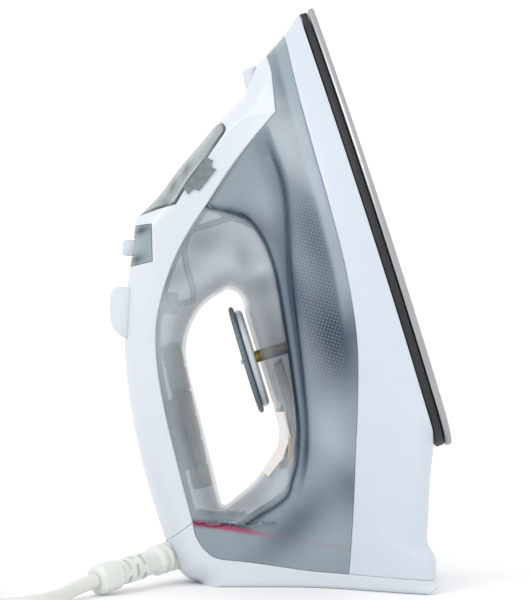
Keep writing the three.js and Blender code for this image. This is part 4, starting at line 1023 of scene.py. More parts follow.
@dataclass
class Strip:
    """A shell over the side view between two lines that count the same steps.

    The rows run from line a to line b. A Coons patch gives the places: the ruled surface between
    the lines, plus the one between the ends, less the one that both share.
    """

    name: str
    a: Line
    b: Line
    seams: tuple[Array, ...]
    end: Line | None = None
    wall: float = 2.0
    fine: int = 4
    across: int = 30
    gather: float = 1.0  # 1 gathers the points at line b, 0 spreads them evenly
    capped: tuple[float, float] | None = None  # the steps of line b that are closed across
    nosed: bool = False  # the first row is the nose's edge, where both sides meet
    ridged: bool = False  # line b is a ridge, where both sides meet
    cap_end: bool = False  # the last row is closed across
    relief: Relief | None = None

    def shares(self) -> Array:
        """Where the points of a row lie between the two lines.

        Returns:
            Shares from 0 at line a to 1 at line b.
        """
        even = np.linspace(0, 1, self.across)
        gathered = np.sin(even * math.pi / 2)
        mixed = (1 - self.gather) * even + self.gather * gathered
        close = np.array([0.004, 0.01, 0.018, 0.03])
        return np.unique(np.concatenate([mixed, close, 1 - close]))

    def rows(self) -> Array:
        """The steps at which rows are taken.

        Returns:
            Counts of steps from the lines' start.
        """
        n = self.a.steps
        even = np.linspace(0, n, n * self.fine + 1)
        close = np.array(NEAR_EDGE)
        return np.unique(np.concatenate([even, close, n - close]).round(6))

    def places(self) -> Array:
        """The Coons patch: rows by points by [u, v].

        Returns:
            Places by row and by share.
        """
        steps, shares = self.rows(), self.shares()
        a, b = self.a.at(steps), self.b.at(steps)
        s, t = shares[None, :, None], (steps / self.a.steps)[:, None, None]
        ruled = a[:, None] * (1 - s) + b[:, None] * s
        first = a[0] * (1 - s[0]) + b[0] * s[0]
        last = a[-1] * (1 - s[0]) + b[-1] * s[0]
        if self.end:
            last = self.end.at(shares * self.end.steps)
        corners = (1 - t) * (a[0] * (1 - s) + b[0] * s) + t * (a[-1] * (1 - s) + b[-1] * s)
        return ruled + (1 - t) * first + t * last - corners

    def half(self, places: Array) -> Array:
        """Half widths with the relief taken off.

        Args:
            places: places in the side view, in mm.

        Returns:
            Half widths in mm, one for each place.
        """
        half = body_half_width(places)
        if self.relief:
            half = half - self.relief(places)
        return np.maximum(half, 0)

    def walled(self, obj: bpy.types.Object) -> bpy.types.Object:
        """Thickens the shell inwards and rolls its outer edges in at the seams.

        Args:
            obj: the shell as a thin surface.

        Returns:
            The same object.
        """
        outer = len(obj.data.vertices)
        thicken(obj, self.wall)
        points = points_of(obj)
        gap = np.min([distance_to(seam, side_view(points[:outer])) for seam in self.seams], axis=0)
        taken = np.minimum(round_off(gap, EDGE_ROLL, EDGE_ROLL) * MM, np.abs(points[:outer, 1]))
        points[:outer, 1] -= np.sign(points[:outer, 1]) * taken
        obj.data.vertices.foreach_set("co", points.ravel())
        return tidy_mesh(obj)

    def closed(self, half: Array, rows: int) -> Array:
        """Half widths that are nothing on a nose's edge and on a ridge.

        Args:
            half: half widths, row by row.
            rows: how many rows there are.

        Returns:
            The same half widths, closed.
        """
        half = half.reshape(rows, -1)
        if self.nosed:
            half[0] = 0
        if self.ridged:
            half[:, -1] = 0
        return half.reshape(-1)

    def build(self) -> bpy.types.Object:
        """The shell as a closed mesh with its wall.

        Returns:
            The new object.
        """
        grid = self.places()
        rows, across = grid.shape[:2]
        flat = grid.reshape(-1, 2)
        half = self.closed(self.half(flat), rows)
        points = [SOLE.row(flat[:, 0], flat[:, 1], side * half) for side in (1, -1)]
        faces = np.vstack(self.faces(rows, across))
        obj = tidy_mesh(mesh_object(self.name, np.vstack(points), faces))
        face_outwards_sideways(obj)
        return self.walled(obj)

    def faces(self, rows: int, across: int) -> list[Array]:
        """The quads of both sides, and those that close the shell across the iron.

        Args:
            rows: how many rows a side has.
            across: how many points a row has.

        Returns:
            Blocks of quads.
        """
        count = rows * across
        faces = [grid_faces(rows, across), grid_faces(rows, across, count)]
        if self.capped:
            low, high = self.capped
            steps = self.rows()
            kept = np.nonzero((steps >= low - 1e-6) & (steps <= high + 1e-6))[0]
            faces.append(self.bridge(kept * across + across - 1, count))
        if self.cap_end:
            faces.append(self.bridge((rows - 1) * across + np.arange(across), count))
        return faces

    @staticmethod
    def bridge(edge: Array, far: int) -> Array:
        """Quads across the iron between an edge's points and their twins, far numbers on."""
        return np.stack([edge[:-1], edge[1:], edge[1:] + far, edge[:-1] + far], axis=1)


@dataclass
class Loop(Strip):
    """A shell whose rows go right round an opening, so that its last row meets its first."""

    def rows(self) -> Array:
        """The steps at which rows are taken, without the last, which is the first again."""
        n = self.a.steps
        return np.linspace(0, n, n * self.fine, endpoint=False)

    def places(self) -> Array:
        """The ruled surface between the two closed lines."""
        steps, s = self.rows(), self.shares()[None, :, None]
        return self.a.at(steps)[:, None] * (1 - s) + self.b.at(steps)[:, None] * s

    def faces(self, rows: int, across: int) -> list[Array]:
        """The quads of both sides, each a ring."""
        return [grid_faces(rows, across, first, close_rows=True) for first in (0, rows * across)]


SEAM_STEPS = 110  # straight stretches to each run of a seam
BOW_STEPS = 60  # and to a styling line
THROUGH = 60.0  # mm to each side that reaches past the whole iron


def seam(*runs: tuple[Place, ...]) -> Array:
    """A seam as a line of short straight stretches."""
    return np.vstack([spline(run, SEAM_STEPS) for run in runs])


def bowed(*places: Place) -> Array:
    """A smooth styling line through the given places."""
    return spline(places, BOW_STEPS)


SEAL_LINE = ((-0.8, 131.5), (-11.9, 108.3), (-23.9, 83.9), (-34.2, 62))
# Soft patches on the tank's tone: partly the inner parts seen through the wall, partly painted shade and
# painted highlights.
TANK_TINT_AND_SHADE_CLOUDS = (
    Cloud(116, 34, 26, 10, -0.5), Cloud(66, 40, 26, 14, -0.72), Cloud(94, 50, 16, 5, -0.3),
    Cloud(126, 60, 12, 8, -0.4, 0.6), Cloud(137, 52, 9, 6, 0.12), Cloud(134, 72, 5, 7, -0.5),
    Cloud(20, 55, 13, 9, 0.3), Cloud(34, 48, 9, 12, 0.12), Cloud(-6, 52, 13, 9, -0.3),
    Cloud(-16, 84, 8, 26, -0.42, 0.5), Cloud(-35, 80, 8, 30, 0.08, 0.4),
    Cloud(190, 27, 16, 6, -0.24), Cloud(164, 46, 14, 6, -0.14), Cloud(142, 27, 9, 3, 0.12),
    Cloud(84, 28, 16, 3, -0.24), Cloud(162, 34, 10, 6, 0.1),
)
# Soft patches on the handle's tone: partly the inner parts seen through the ring, partly painted shade,
# deepest on the saddle by the dial.
HANDLE_TINT_AND_SHADE_CLOUDS = (
    Cloud(130, 86, 7, 12, -0.5), Cloud(118, 103, 5, 12, -0.34, 0.3), Cloud(117, 70, 8, 4, -0.3),
    Cloud(100, 64, 6, 9, -0.35), Cloud(108, 64, 3, 5, 0.35), Cloud(66, 66, 34, 8, -0.8),
    Cloud(20, 70, 10, 6, -0.05), Cloud(42, 121, 14, 5, -0.3), Cloud(14, 122, 14, 5, -0.22),
    Cloud(-4, 100, 7, 8, -0.35), Cloud(84, 118, 14, 6, 0.16), Cloud(98, 116, 8, 5, 0.2),
    Cloud(10, 84, 10, 6, 0.1), Cloud(60, 118, 4, 5, -0.2),
)
LID_CLOUDS = (
    Cloud(166, 84, 1.6, 4, -0.6, 0.9), Cloud(160, 93, 1.6, 4, -0.65, 0.9), Cloud(154, 100, 4, 2, -0.3, 0.9),
)
BEZEL_CLOUDS = (Cloud(143.4, 115.5, 2.0, 5.5, -0.9), Cloud(130.6, 122, 2.3, 4.5, -0.95))
SKIRT_SEAM = seam(SKIRT_TOP_FRONT, SKIRT_TOP_REAR)
SKIRT_RIM = seam((SKIRT_NOSE, SKIRT_HEEL))
NOSE_SEAM = seam(NOSE_UNDER_COVER, NOSE_OVER_TANK)
HAND_SEAM = seam(HANDLE_SEAM, SEAM_BEHIND, (SEAM_TURN, SEAM_END))
COVER_SEAM = seam(COVER_EDGE)
REAR_SEAM = seam(REAR_SEAM_TURN, REAR_SEAM_TANK, REAR_SEAM_SKIRT)
COVER_FOOT = seam((SEAM_END, (-7.4, 148.5)))
CREASE = bowed(
    (176, 40), (162.7, 40.6), (150, 39.9), (138.4, 40.7), (128.4, 42.8), (114.4, 46.4), (98.1, 50.4),
    (74.8, 54.6), (50.6, 58.9), (26.9, 64.0), (13.0, 68.7), (-5.0, 78.1),
)
RECESS = bowed((60, 29), (19.5, 36.5), (-12.6, 44.9), (-22.7, 46.5), (-33, 43), (-41.7, 35.1), (-46.0, 24))


@dataclass
class Housing:
    """The moulded shells: skirt, tank, handle, cover, heel, lid and slider bezel."""

    wall: float = 2.0
    bezel: tuple[Place, ...] = ((129.4, 140), (127.2, 113.2), (144.6, 108.4), (148.6, 128), (148.6, 140))
    lens: tuple[Place, ...] = ((38.5, 84), (38.5, 72.8), (26, 73.4), (16, 80.4), (9.4, 89.6), (18, 98))
    lid_front: tuple[Place, ...] = (
        (168.8, 71.6), (158.8, 85.1), (150.7, 94), (151, 101), (151.4, 140), (205, 140),
    )
    latch_tab: tuple[Place, ...] = (
        (168, 73), (165.4, 70.4), (162.6, 72.2), (160.9, 70), (153.2, 81), (154.8, 83.4), (153.2, 87),
        (157, 88),
    )
    latch_stand: float = 0.75
    hinge_along: float = 6.0  # the lid's hinge from its front corner, back along the ridge
    hinge_round: float = 3.3  # radius of the lid's end round its hinge
    hinge_cover: float = 0.2  # what lies over that round end
    swing_room: float = 0.55  # free space ahead of it
    barrel_radius: float = 2.7
    barrel_half: float = 8.0
    mouth_radius: float = 7.8  # the hole in the heel that the cord's guard turns in

    def build(self) -> None:
        """Builds and dresses every shell."""
        self.skirt()
        self.tank()
        self.handle()
        self.heel()
        self.cover()

    def skirt(self) -> None:
        """The white skirt over the soleplate, with a shallow scoop towards its back."""
        def scoop(places: Array) -> Array:
            """A step of half a mm along the recess line, fading out ahead.

            Args:
                places: places in the side view, in mm.

            Returns:
                Mm taken off at each place.
            """
            side = beside(RECESS, places)
            ahead = smooth(places[:, 0], -52, -44) * (1 - smooth(places[:, 0], 20, 62))
            return 0.9 * smooth(side, -1.2, 1.2) * ahead

        top = Line(((SKIRT_TOP_FRONT, 14), (SKIRT_TOP_REAR, 7)))
        foot = Line((((SKIRT_NOSE, SKIRT_HEEL), 14), (SKIRT_BACK, 7)))
        shell = Strip(
            "skirt_shell", top, foot, (SKIRT_SEAM, SKIRT_RIM, seam(REAR_SEAM_SKIRT)), wall=self.wall,
            fine=7, across=34, gather=0.5, capped=(14, 21), nosed=True, relief=scoop,
        ).build()
        finished(shell, Look.SKIRT, nodes=["skirt"])

    def tank(self) -> None:
        """The smoky water tank, with its dotted panel and the crease beside it."""
        def crease(places: Array) -> Array:
            """The side steps in by 1.9 mm above the crease, with a groove along it.

            Args:
                places: places in the side view, in mm.

            Returns:
                Mm taken off at each place.
            """
            above = -beside(CREASE, places)
            fade = smooth(places[:, 0], -8, 14) * (1 - smooth(places[:, 0], 158, 178))
            return (1.9 * smooth(above, -0.4, 2.2) + 0.7 * np.exp(-((above - 0.9) / 0.8) ** 2)) * fade

        def tint_and_shade(places: Array) -> Array:
            """Pale at the nose, with a painted highlight strip along the skirt and painted shade in the
            crease and along the handle's seam.

            Args:
                places: places in the side view, in mm.

            Returns:
                One value for each place.
            """
            above = -beside(CREASE, places)
            fade = smooth(places[:, 0], -8, 20) * (1 - smooth(places[:, 0], 150, 178))
            # groove: painted shade along the crease.
            groove = np.exp(-((above - 1.2) / 1.5) ** 2) + 0.45 * np.exp(-((above - 4) / 5) ** 2)
            # hand: painted shade along the seam with the handle.
            hand = np.exp(-((distance_to(HAND_SEAM, places) - 0.5) / 1.0) ** 2)
            # rim: a painted highlight strip along the seam with the skirt.
            rim = (1 - smooth(distance_to(SKIRT_SEAM, places), 4.5, 7.0)) * smooth(places[:, 0], 62, 92)
            level = clouded(0.7, TANK_TINT_AND_SHADE_CLOUDS, places) - 0.5 * groove * fade - 0.55 * hand
            return level * (1 - rim) + 0.82 * rim

        def panel(places: Array) -> Array:
            """1 between the crease and the skirt, fading out at both ends.

            Args:
                places: places in the side view, in mm.

            Returns:
                One value for each place.
            """
            below = beside(CREASE, places)
            ends = smooth(places[:, 0], 30, 62) * (1 - smooth(places[:, 0], 132, 150))
            return smooth(below, 1.0, 3.0) * ends * smooth(distance_to(SKIRT_SEAM, places), 5, 8)

        def blush(places: Array) -> Array:
            """The seal seen through the wall, strongest next to the handle's foot.

            Args:
                places: places in the side view, in mm.

            Returns:
                One value for each place.
            """
            line = distance_to(seam(SEAL_LINE), places)
            return np.exp(-((line / 1.5) ** 4)) * (0.12 + 0.88 * smooth(places[:, 1], 92, 112))

        top = Line(((SKIRT_TOP_FRONT, 16), (SKIRT_TOP_REAR, 15)))
        upper = Line((
            (NOSE_UNDER_COVER, 3), (NOSE_OVER_TANK, 5), (HANDLE_SEAM, 12), (SEAM_BEHIND, 4),
            ((SEAM_TURN, SEAM_END), 2), (REAR_SEAM_TURN, 5),
        ))
        end = Line(((REAR_SEAM_TANK[::-1], 5),))
        shell = Strip(
            "tank_shell", top, upper, (SKIRT_SEAM, NOSE_SEAM, HAND_SEAM, REAR_SEAM), end=end,
            wall=self.wall, fine=6, across=56, gather=0.0, nosed=True, relief=crease,
        ).build()
        give_attribute(shell, "tint_and_shade", tint_and_shade)
        give_attribute(shell, "panel", panel)
        give_attribute(shell, "blush", blush)
        finished(shell, Look.TANK, nodes=["water_tank"])

    def handle(self) -> None:
        """The clear ring round the hand opening, and the milky lens let into its foot."""
        def tint_and_shade(places: Array) -> Array:
            """Pale in the grip and deep in its head, with painted shade on the saddle by the dial, along the
            seam and along the hand opening's edge.

            Args:
                places: places in the side view, in mm.

            Returns:
                One value for each place.
            """
            # hand: painted shade along the seam with the tank.
            hand = np.exp(-(distance_to(HAND_SEAM, places) / 1.3) ** 2)
            # rim: painted shade along the edge of the hand opening.
            rim = np.exp(-(distance_to(OPENING_LINE, places) / 2.5) ** 2)
            return clouded(0.9, HANDLE_TINT_AND_SHADE_CLOUDS, places) - 0.55 * hand - 0.1 * rim

        outer = Line((
            (HANDLE_SEAM, 12), (SEAM_BEHIND, 4), ((SEAM_TURN, SEAM_END), 2), (COVER_EDGE, 16),
        ))
        inner = Line(tuple(zip(OPENING, (12, 4, 2, 16))))
        ring = Loop(
            "handle_ring", outer, inner, (HAND_SEAM, COVER_SEAM), wall=self.wall, fine=6, across=30,
            ridged=True,
        ).build()
        lens = carve(copied(ring, "pilot_window"), Cut.SHARED, sideways_prism("lens", self.lens, THROUGH))
        carve(ring, Cut.AWAY, sideways_prism("lens", grown(self.lens, 0.25), THROUGH))
        tinted_and_shaded(ring, tint_and_shade)
        finished(ring, Look.HANDLE, nodes=["handle_shell"])
        finished(lens, Look.MILKY, nodes=["pilot_lens"])

    def heel(self) -> None:
        """The white heel that the iron stands on."""
        upper = Line(((REAR_SEAM_TURN, 5), (REAR_SEAM_TANK, 5), (REAR_SEAM_SKIRT, 3)))
        lower = Line(((HEEL_BACK, 5), (HEEL_FLAT, 7), (HEEL_FRONT, 1)))
        shell = Strip(
            "heel_shell", upper, lower, (REAR_SEAM, COVER_FOOT), wall=self.wall, fine=9, across=32,
            gather=0.8, capped=(0, 13), cap_end=True,
        ).build()
        ball = SOLE.vector(*GUARD_BALL)
        mouth = swept("mouth", np.array([ball, ball + WELL_REACH * GUARD_LINE]), self.mouth_radius * MM, 24)
        carve(shell, Cut.AWAY, mouth)
        finished(shell, Look.WHITE, nodes=["rear_cover"])

    @staticmethod
    def cover_lines() -> tuple[Line, Line]:
        """The cover's edge over the tank and the handle, and its ridge."""
        edge = Line(((NOSE_UNDER_COVER, 3), (NOSE_OVER_TANK, 5), (COVER_EDGE[::-1], 16)))
        return edge, Line(((NOSE_RIDGE, 3), (LID_RIDGE, 5), (HANDLE_BACK, 16)))

    def cover(self) -> None:
        """The white cover over nose and handle, with the lid and the slider's bezel let into it."""
        shell = Strip(
            "handle_top", *self.cover_lines(), (NOSE_SEAM, COVER_SEAM, COVER_FOOT), wall=self.wall, fine=8,
            across=34, nosed=True, ridged=True,
        ).build()
        lid_line, hinge_room = self.lid_outline()
        lid = carve(copied(shell, "filler_lid"), Cut.SHARED, sideways_prism("lid", lid_line, THROUGH))
        bezel = carve(
            copied(shell, "slider_surround"), Cut.SHARED, sideways_prism("bezel", self.bezel, THROUGH),
        )
        carve(
            shell, Cut.AWAY,
            sideways_prism("lid", grown(lid_line, 0.35), THROUGH),
            sideways_prism("hinge", hinge_room, THROUGH),
            sideways_prism("bezel", grown(self.bezel, 0.3), THROUGH),
            BUTTONS.well(), NOZZLE.well(), SLIDER.well("slot_in_cover"),
        )
        carve(bezel, Cut.AWAY, SLIDER.well("slot_in_bezel"))
        finished(shell, Look.WHITE, nodes=["handle_cover"])
        pane = grown(lid_line, -1.1)
        frame_of_lid = carve(copied(lid, "lid_frame"), Cut.AWAY, sideways_prism("pane", pane, THROUGH))
        carve(lid, Cut.SHARED, sideways_prism("pane", pane, THROUGH))
        carve(frame_of_lid, Cut.JOINED, self.lid_barrel())
        # Lid and bezel: painted shade along the ridge, on top of their listed dark patches.
        for piece, clouds in ((lid, LID_CLOUDS), (bezel, BEZEL_CLOUDS)):
            tinted_and_shaded(piece, lambda places, clouds=clouds: (
                clouded(0.85, clouds, places)
                - 0.7 * np.exp(-(distance_to(RIDGE_LINE, places) / 1.3) ** 2)
            ))
        finished(lid, Look.LID, "lid", nodes=["fill_lid"])
        finished(frame_of_lid, Look.LID_EDGE, "lid", nodes=["fill_lid"])
        finished(bezel, Look.BEZEL, nodes=["slider_bezel"])
        self.latch()

    def latch(self) -> None:
        """The lid's latch: a thin raised tab on each side that laps the cover."""
        skin = Strip(
            "lid_latch", *self.cover_lines(), (NOSE_SEAM,), wall=0.6, fine=5, across=30, nosed=True,
            relief=lambda places: 0 * places[:, 0] - self.latch_stand,
        ).build()
        carve(skin, Cut.SHARED, sideways_prism("tab", self.latch_tab, THROUGH))
        finished(skin, Look.LATCH, "lid")

    def lid_barrel(self) -> bpy.types.Object:
        """The lid's hinge barrel round its pin.

        Returns:
            The new object.
        """
        pivot, _, _ = self.lid_hinge()
        ends = [SOLE.row(pivot[0], pivot[1], side * self.barrel_half) for side in (-1, 1)]
        return swept("barrel", np.array(ends), self.barrel_radius * MM, 28)

    def lid_hinge(self) -> tuple[Array, Array, Array]:
        """The lid's hinge in the side view, and unit directions back along the ridge and inwards.

        Returns:
            The place, and the two directions.
        """
        ahead, behind = np.array(LID_RIDGE[1]), np.array(LID_RIDGE[2])
        back = (behind - ahead) / np.linalg.norm(behind - ahead)
        inwards = np.array([-back[1], back[0]])
        inwards *= -np.sign(inwards[1])
        deep = self.hinge_round + self.hinge_cover
        return ahead + self.hinge_along * back + deep * inwards, back, inwards

    def lid_outline(self) -> tuple[list[Place], Array]:
        """The lid's side view, round over its hinge, and the room its face swings into.

        Returns:
            The outline and the room, as places.
        """
        pivot, back, inwards = self.lid_hinge()
        reach = self.hinge_round
        angle = np.linspace(0, math.pi, 7)[:, None]
        hinge = pivot - reach * np.cos(angle) * inwards - reach * np.sin(angle) * back
        outside = pivot - 20 * inwards
        ahead_by = (reach + self.swing_room) * back
        room = np.array([outside, outside - ahead_by, pivot - ahead_by, pivot])
        return [tuple(outside), *map(tuple, hinge), *self.lid_front], room


# ---------------------------------------------------------------- sole and heat shield
def sole_outline(margin: float, steps: int = 70) -> Array:
    """The sole's outline a margin inside its edge: points of [u, y] right round.

    Each side follows the half width, with an elliptical corner at the heel end, and its points
    gather at both ends by a cosine.

    Args:
        margin: how far inside the edge it lies, in mm.
        steps: how many points a side has.

    Returns:
        Points of [u, y] in mm.
    """
    corner = 22.0
    tip = SOLE_WIDEST + TIP_RUN * (1 - margin / SOLE_HALF) ** (1 / TIP_POWER)
    s = np.linspace(0, 1, steps)
    u = margin + (tip - margin) * (1 - np.cos(math.pi * s)) / 2
    half = sole_half_width(u) - margin - round_off(u - margin, corner, corner)
    half = np.maximum(half, 0)
    half[-1] = 0
    return np.vstack([np.stack([u, half], 1), np.stack([u[-2::-1], -half[-2::-1]], 1)])


@dataclass
class Sole:
    """The steel soleplate with its steam holes, and the dark heat shield above it."""

    thickness: float = 3.5
    band_low: float = 3.8
    band_height: float = 4.1
    hole_radius: float = 1.4
    hole_mouth: float = 2.6
    hole_step: float = 17.0
    hole_margin: float = 13.0
    first_hole: float = 196.0
    last_hole: float = 58.0

    def build(self) -> None:
        """Builds both pieces."""
        self.plate()
        self.band()

    @staticmethod
    def lofted(name: str, rings: Sequence[tuple[float, float]],
               open_middle: bool = False) -> bpy.types.Object:
        """A slab through outlines of [margin, height], closed at both faces or round a middle.

        Args:
            name: the piece's name.
            rings: the margin and the height of each outline, in mm.
            open_middle: join the last outline to the first instead.

        Returns:
            The new object.
        """
        loops = [sole_outline(margin) for margin, _ in rings]
        points = np.stack([
            SOLE.row(loop[:, 0], height, loop[:, 1]) for loop, (_, height) in zip(loops, rings)
        ])
        rows, around = points.shape[:2]
        faces = [list(f) for f in grid_faces(rows, around, close_rows=open_middle, close_across=True)]
        if not open_middle:
            faces += [list(range(around)), [(rows - 1) * around + i for i in reversed(range(around))]]
        return tidy_mesh(mesh_object(name, points, faces), sharp=50)

    def plate(self) -> None:
        """The soleplate: rounded edges, and steam holes along both sides."""
        rings = [
            (2.2, 0.0), (1.2, 0.12), (0.5, 0.5), (0.3, 1.1), (0.3, 2.8), (0.5, 3.2), (1.0, self.thickness),
        ]
        slab = self.lofted("sole_sheet", rings)
        spots = np.arange(self.first_hole, self.last_hole, -self.hole_step)
        half = sole_half_width(spots)
        side = half - np.minimum(self.hole_margin, 0.45 * half)
        profile = [
            (0, -1), (self.hole_mouth, -1), (self.hole_mouth, 0), (self.hole_radius, 1.0),
            (self.hole_radius, self.thickness + 1),
            (0, self.thickness + 1),
        ]
        holes = [
            turned("hole", profile, SOLE.vector(u, 0, way * y), UP, 18)
            for u, y in zip(spots, side) for way in (1, -1)
        ]
        carve(slab, Cut.AWAY, joined("holes", holes))
        finished(slab, Look.STEEL, nodes=["soleplate"])

    def band(self) -> None:
        """The heat shield: a ring with softened edges between soleplate and skirt."""
        low, high = self.band_low, self.band_low + self.band_height
        rings = [(1.6, low), (1.1, low + 0.5), (1.0, high - 0.5), (1.5, high), (8.6, high), (8.6, low)]
        ring = self.lofted("heat_band", rings, open_middle=True)
        finished(ring, Look.BAND, nodes=["heat_shield"])


def joined(name: str, pieces: Sequence[bpy.types.Object]) -> bpy.types.Object:
    """Several meshes as one object.

    Args:
        name: the new object's name.
        pieces: closed meshes, which are used up.

    Returns:
        The new object.
    """
    verts, faces, base = [], [], 0
    for piece in pieces:
        verts.append(points_of(piece))
        faces += [[base + i for i in p.vertices] for p in piece.data.polygons]
        base += len(verts[-1])
        bpy.data.objects.remove(piece)
    return tidy_mesh(mesh_object(name, np.vstack(verts), faces))


# ---------------------------------------------------------------- dial
@dataclass
class Dial:
    """The temperature dial under the handle: a silver body, a ribbed rim and a pointer."""

    u: float = 67.0
    clearance: float = 1.2
    body_radius: float = 25.0
    body_height: float = 3.4
    rim_radius: float = 27.5
    rim_height: float = 2.6
    flute_count: int = 60
    flute_depth: float = 0.45

    def build(self) -> None:
        """Builds the two pieces on the dial's body."""
        seat = SOLE.vector(self.u, SADDLE + self.clearance)
        body = softened([
            (0, 0), (self.body_radius - 1.4, 0), (self.body_radius, 1.2),
            (self.body_radius, self.body_height), (0, self.body_height),
        ], 0.8)
        finished(turned("dial_body", body, seat, UP, 96), Look.SILVER, "dial",
                 nodes=["temperature_dial"])
        top = seat + UP * (self.body_height + 0.3) * MM
        face = self.rim_height - 0.9
        rim = softened([
            (0, 0), (self.rim_radius - 1, 0), (self.rim_radius, 0.8),
            (self.rim_radius, self.rim_height - 0.8), (self.rim_radius - 1, self.rim_height),
            (self.rim_radius - 4, self.rim_height),
            (self.rim_radius - 4.6, face), (0, face),
        ], 0.5)

        def flutes(angle: Array, share: Array) -> Array:
            """Shallow flutes on the outer edge only."""
            outer = np.exp(-((share - 0.36) / 0.16) ** 2)
            return self.flute_depth * (0.5 - 0.5 * np.cos(self.flute_count * angle)) * outer

        finished(turned("dial_rim", rim, top, UP, 360, flutes), Look.GRIP, "dial",
                 nodes=["dial_grip_ring"])


# ---------------------------------------------------------------- buttons, slider and nozzle
ALONG_BUTTONS = np.array(HANDLE_BACK[2]) - np.array(HANDLE_BACK[3])
AHEAD_2D = ALONG_BUTTONS / math.hypot(*ALONG_BUTTONS)
OUT_2D = np.array([-AHEAD_2D[1], AHEAD_2D[0]])


def beside_handle(centre: Place, outline: Sequence[Place] | Array) -> Array:
    """Places in the side view from ones along the handle and out of it."""
    p = np.asarray(outline, float)
    return np.array(centre) + p[:, :1] * AHEAD_2D + p[:, 1:] * OUT_2D


def cushion(name: str, outline: Array, low: float, high: float, crown: float, soft: float = 1.2,
            steps: int = 14) -> bpy.types.Object:
    """A block across the handle whose outline shrinks towards both sides as on a soft button.

    The outline is drawn in towards its middle by an ellipse of depth soft at both sides, so that
    the block's edges are round.

    Args:
        name: the piece's name.
        outline: places in the side view, right round.
        low: where it starts across, in mm.
        high: where it ends across, in mm.
        crown: how far the outline is drawn in at both sides, in mm.
        soft: how far from each side that rounding reaches, in mm.
        steps: how many rows it has across.

    Returns:
        The new object.
    """
    s = (1 - np.cos(np.linspace(0, math.pi, steps))) / 2
    y = low + (high - low) * s
    inset = round_off(np.minimum(y - low, high - y), soft, crown)
    middle = outline.mean(axis=0)
    away = outline - middle
    reach = np.linalg.norm(away, axis=1)[:, None]
    rows = [
        SOLE.row(*(middle + away * (1 - np.minimum(d / reach, 0.9))).T, across)
        for d, across in zip(inset, y)
    ]
    n = len(outline)
    faces = [list(f) for f in grid_faces(steps, n, close_across=True)]
    faces += [list(range(n)), [(steps - 1) * n + i for i in reversed(range(n))]]
    return tidy_mesh(mesh_object(name, np.stack(rows), faces), sharp=50)


@dataclass
class Buttons:
    """The two pump buttons on the handle's back, each with its own body."""

    centre: Place = (107.5, 134.0)
    length: float = 25.0
    width: float = 11.4
    stand: float = 7.5
    skirt: float = 6.0
    split: float = 0.5

    def outline(self) -> Array:
        """A button's side view: steep ahead, with a long hollow slope behind.

        Returns:
            Places right round.
        """
        half = self.length / 2
        top = spline([
            (half, 0.3 * self.stand), (half - 0.6, 0.62 * self.stand), (half - 2.4, 0.92 * self.stand),
            (half - 6, self.stand), (-half + 9, self.stand - 0.5), (-half + 4.6, 0.74 * self.stand),
            (-half + 1.6, 0.4 * self.stand), (-half, 0.1 * self.stand),
        ], 30)
        return beside_handle(self.centre, np.vstack([[(-half, -self.skirt), (half, -self.skirt)], top]))

    def build(self) -> None:
        """Builds both buttons."""
        for name, side in (("steam", 1), ("spray", -1)):
            near, far = self.split, self.split + self.width
            low, high = (near, far) if side > 0 else (-far, -near)
            cap = cushion(f"{name}_key", self.outline(), low, high, 1.1, 1.6, 18)
            finished(cap, Look.KNOB, f"{name}_pusher", nodes=[f"{name}_button"])

    def well(self) -> bpy.types.Object:
        """The cut in the cover that the buttons travel in.

        Returns:
            The closed mesh to cut with.
        """
        half, reach = self.length / 2 + 0.5, self.split + self.width + 0.5
        outline = beside_handle(self.centre, [(-half, -20), (half, -20), (half, 30), (-half, 30)])
        return sideways_prism("button_well", outline, reach)


@dataclass
class Slider:
    """The steam slider's knob on the handle."""

    centre: Place = (137.0, 121.6)
    length: float = 8.0
    width: float = 9.0
    travel: float = 12.0
    wall: float = 2.4

    def build(self) -> None:
        """A knob with a waist, on the plate that slides inside."""
        half, foot = self.length / 2, -self.wall - 1.8
        outline = beside_handle(self.centre, np.vstack([
            [(-half, foot), (half, foot)],
            spline([(half, 2.8), (half - 0.3, 4.1), (half - 1.5, 5), (0, 4.5), (-half + 1.5, 5),
                    (-half + 0.3, 4.1), (-half, 2.8)], 24),
        ]))
        knob = cushion("slider_knob", outline, -self.width / 2, self.width / 2, 0.7, 1.2, 14)
        plate_outline = beside_handle(self.centre, [
            (-half + 0.4, foot - 1.4), (half - 0.4, foot - 1.4),
            (half - 0.4, foot + 0.2), (-half + 0.4, foot + 0.2),
        ])
        plate = sideways_prism("slider_plate", plate_outline, self.width / 2 - 0.6)
        carve(knob, Cut.JOINED, plate)
        finished(knob, Look.KNOB, "slider", nodes=["steam_slider"])

    def well(self, name: str) -> bpy.types.Object:
        """The slot that the knob slides in.

        Args:
            name: the cutting mesh's name.

        Returns:
            The closed mesh to cut with.
        """
        half, reach = self.length / 2 + 0.5, (self.width + self.travel) / 2 + 0.5
        outline = beside_handle(self.centre, [(-half, -6), (half, -6), (half, 9), (-half, 9)])
        return sideways_prism(name, outline, reach)


@dataclass
class Nozzle:
    """The spray nozzle over the nose."""

    height: float = 39.5
    back: float = 188.0
    tip: float = 206.2
    radius: float = 4.8

    def build(self) -> None:
        """A stepped barrel with a dished tip and a fine hole."""
        long = self.tip - self.back
        profile = softened([
            (0, 0), (self.radius, 0), (self.radius, long - 5), (self.radius - 0.5, long - 4.6),
            (self.radius - 0.5, long - 1.2), (self.radius - 1.4, long), (1.6, long - 0.4), (0.8, long - 2),
            (0, long - 2),
        ], 0.5)
        barrel = turned("nozzle_barrel", profile, SOLE.vector(self.back, self.height), TOE, 48)
        finished(barrel, Look.WHITE, nodes=["spray_nozzle"])

    def well(self) -> bpy.types.Object:
        """The hole in the cover that the barrel comes out of."""
        start = SOLE.vector(self.back - 0.3, self.height)
        return swept("nozzle_well", np.array([start, start + WELL_REACH * TOE]), (self.radius + 0.3) * MM, 32)


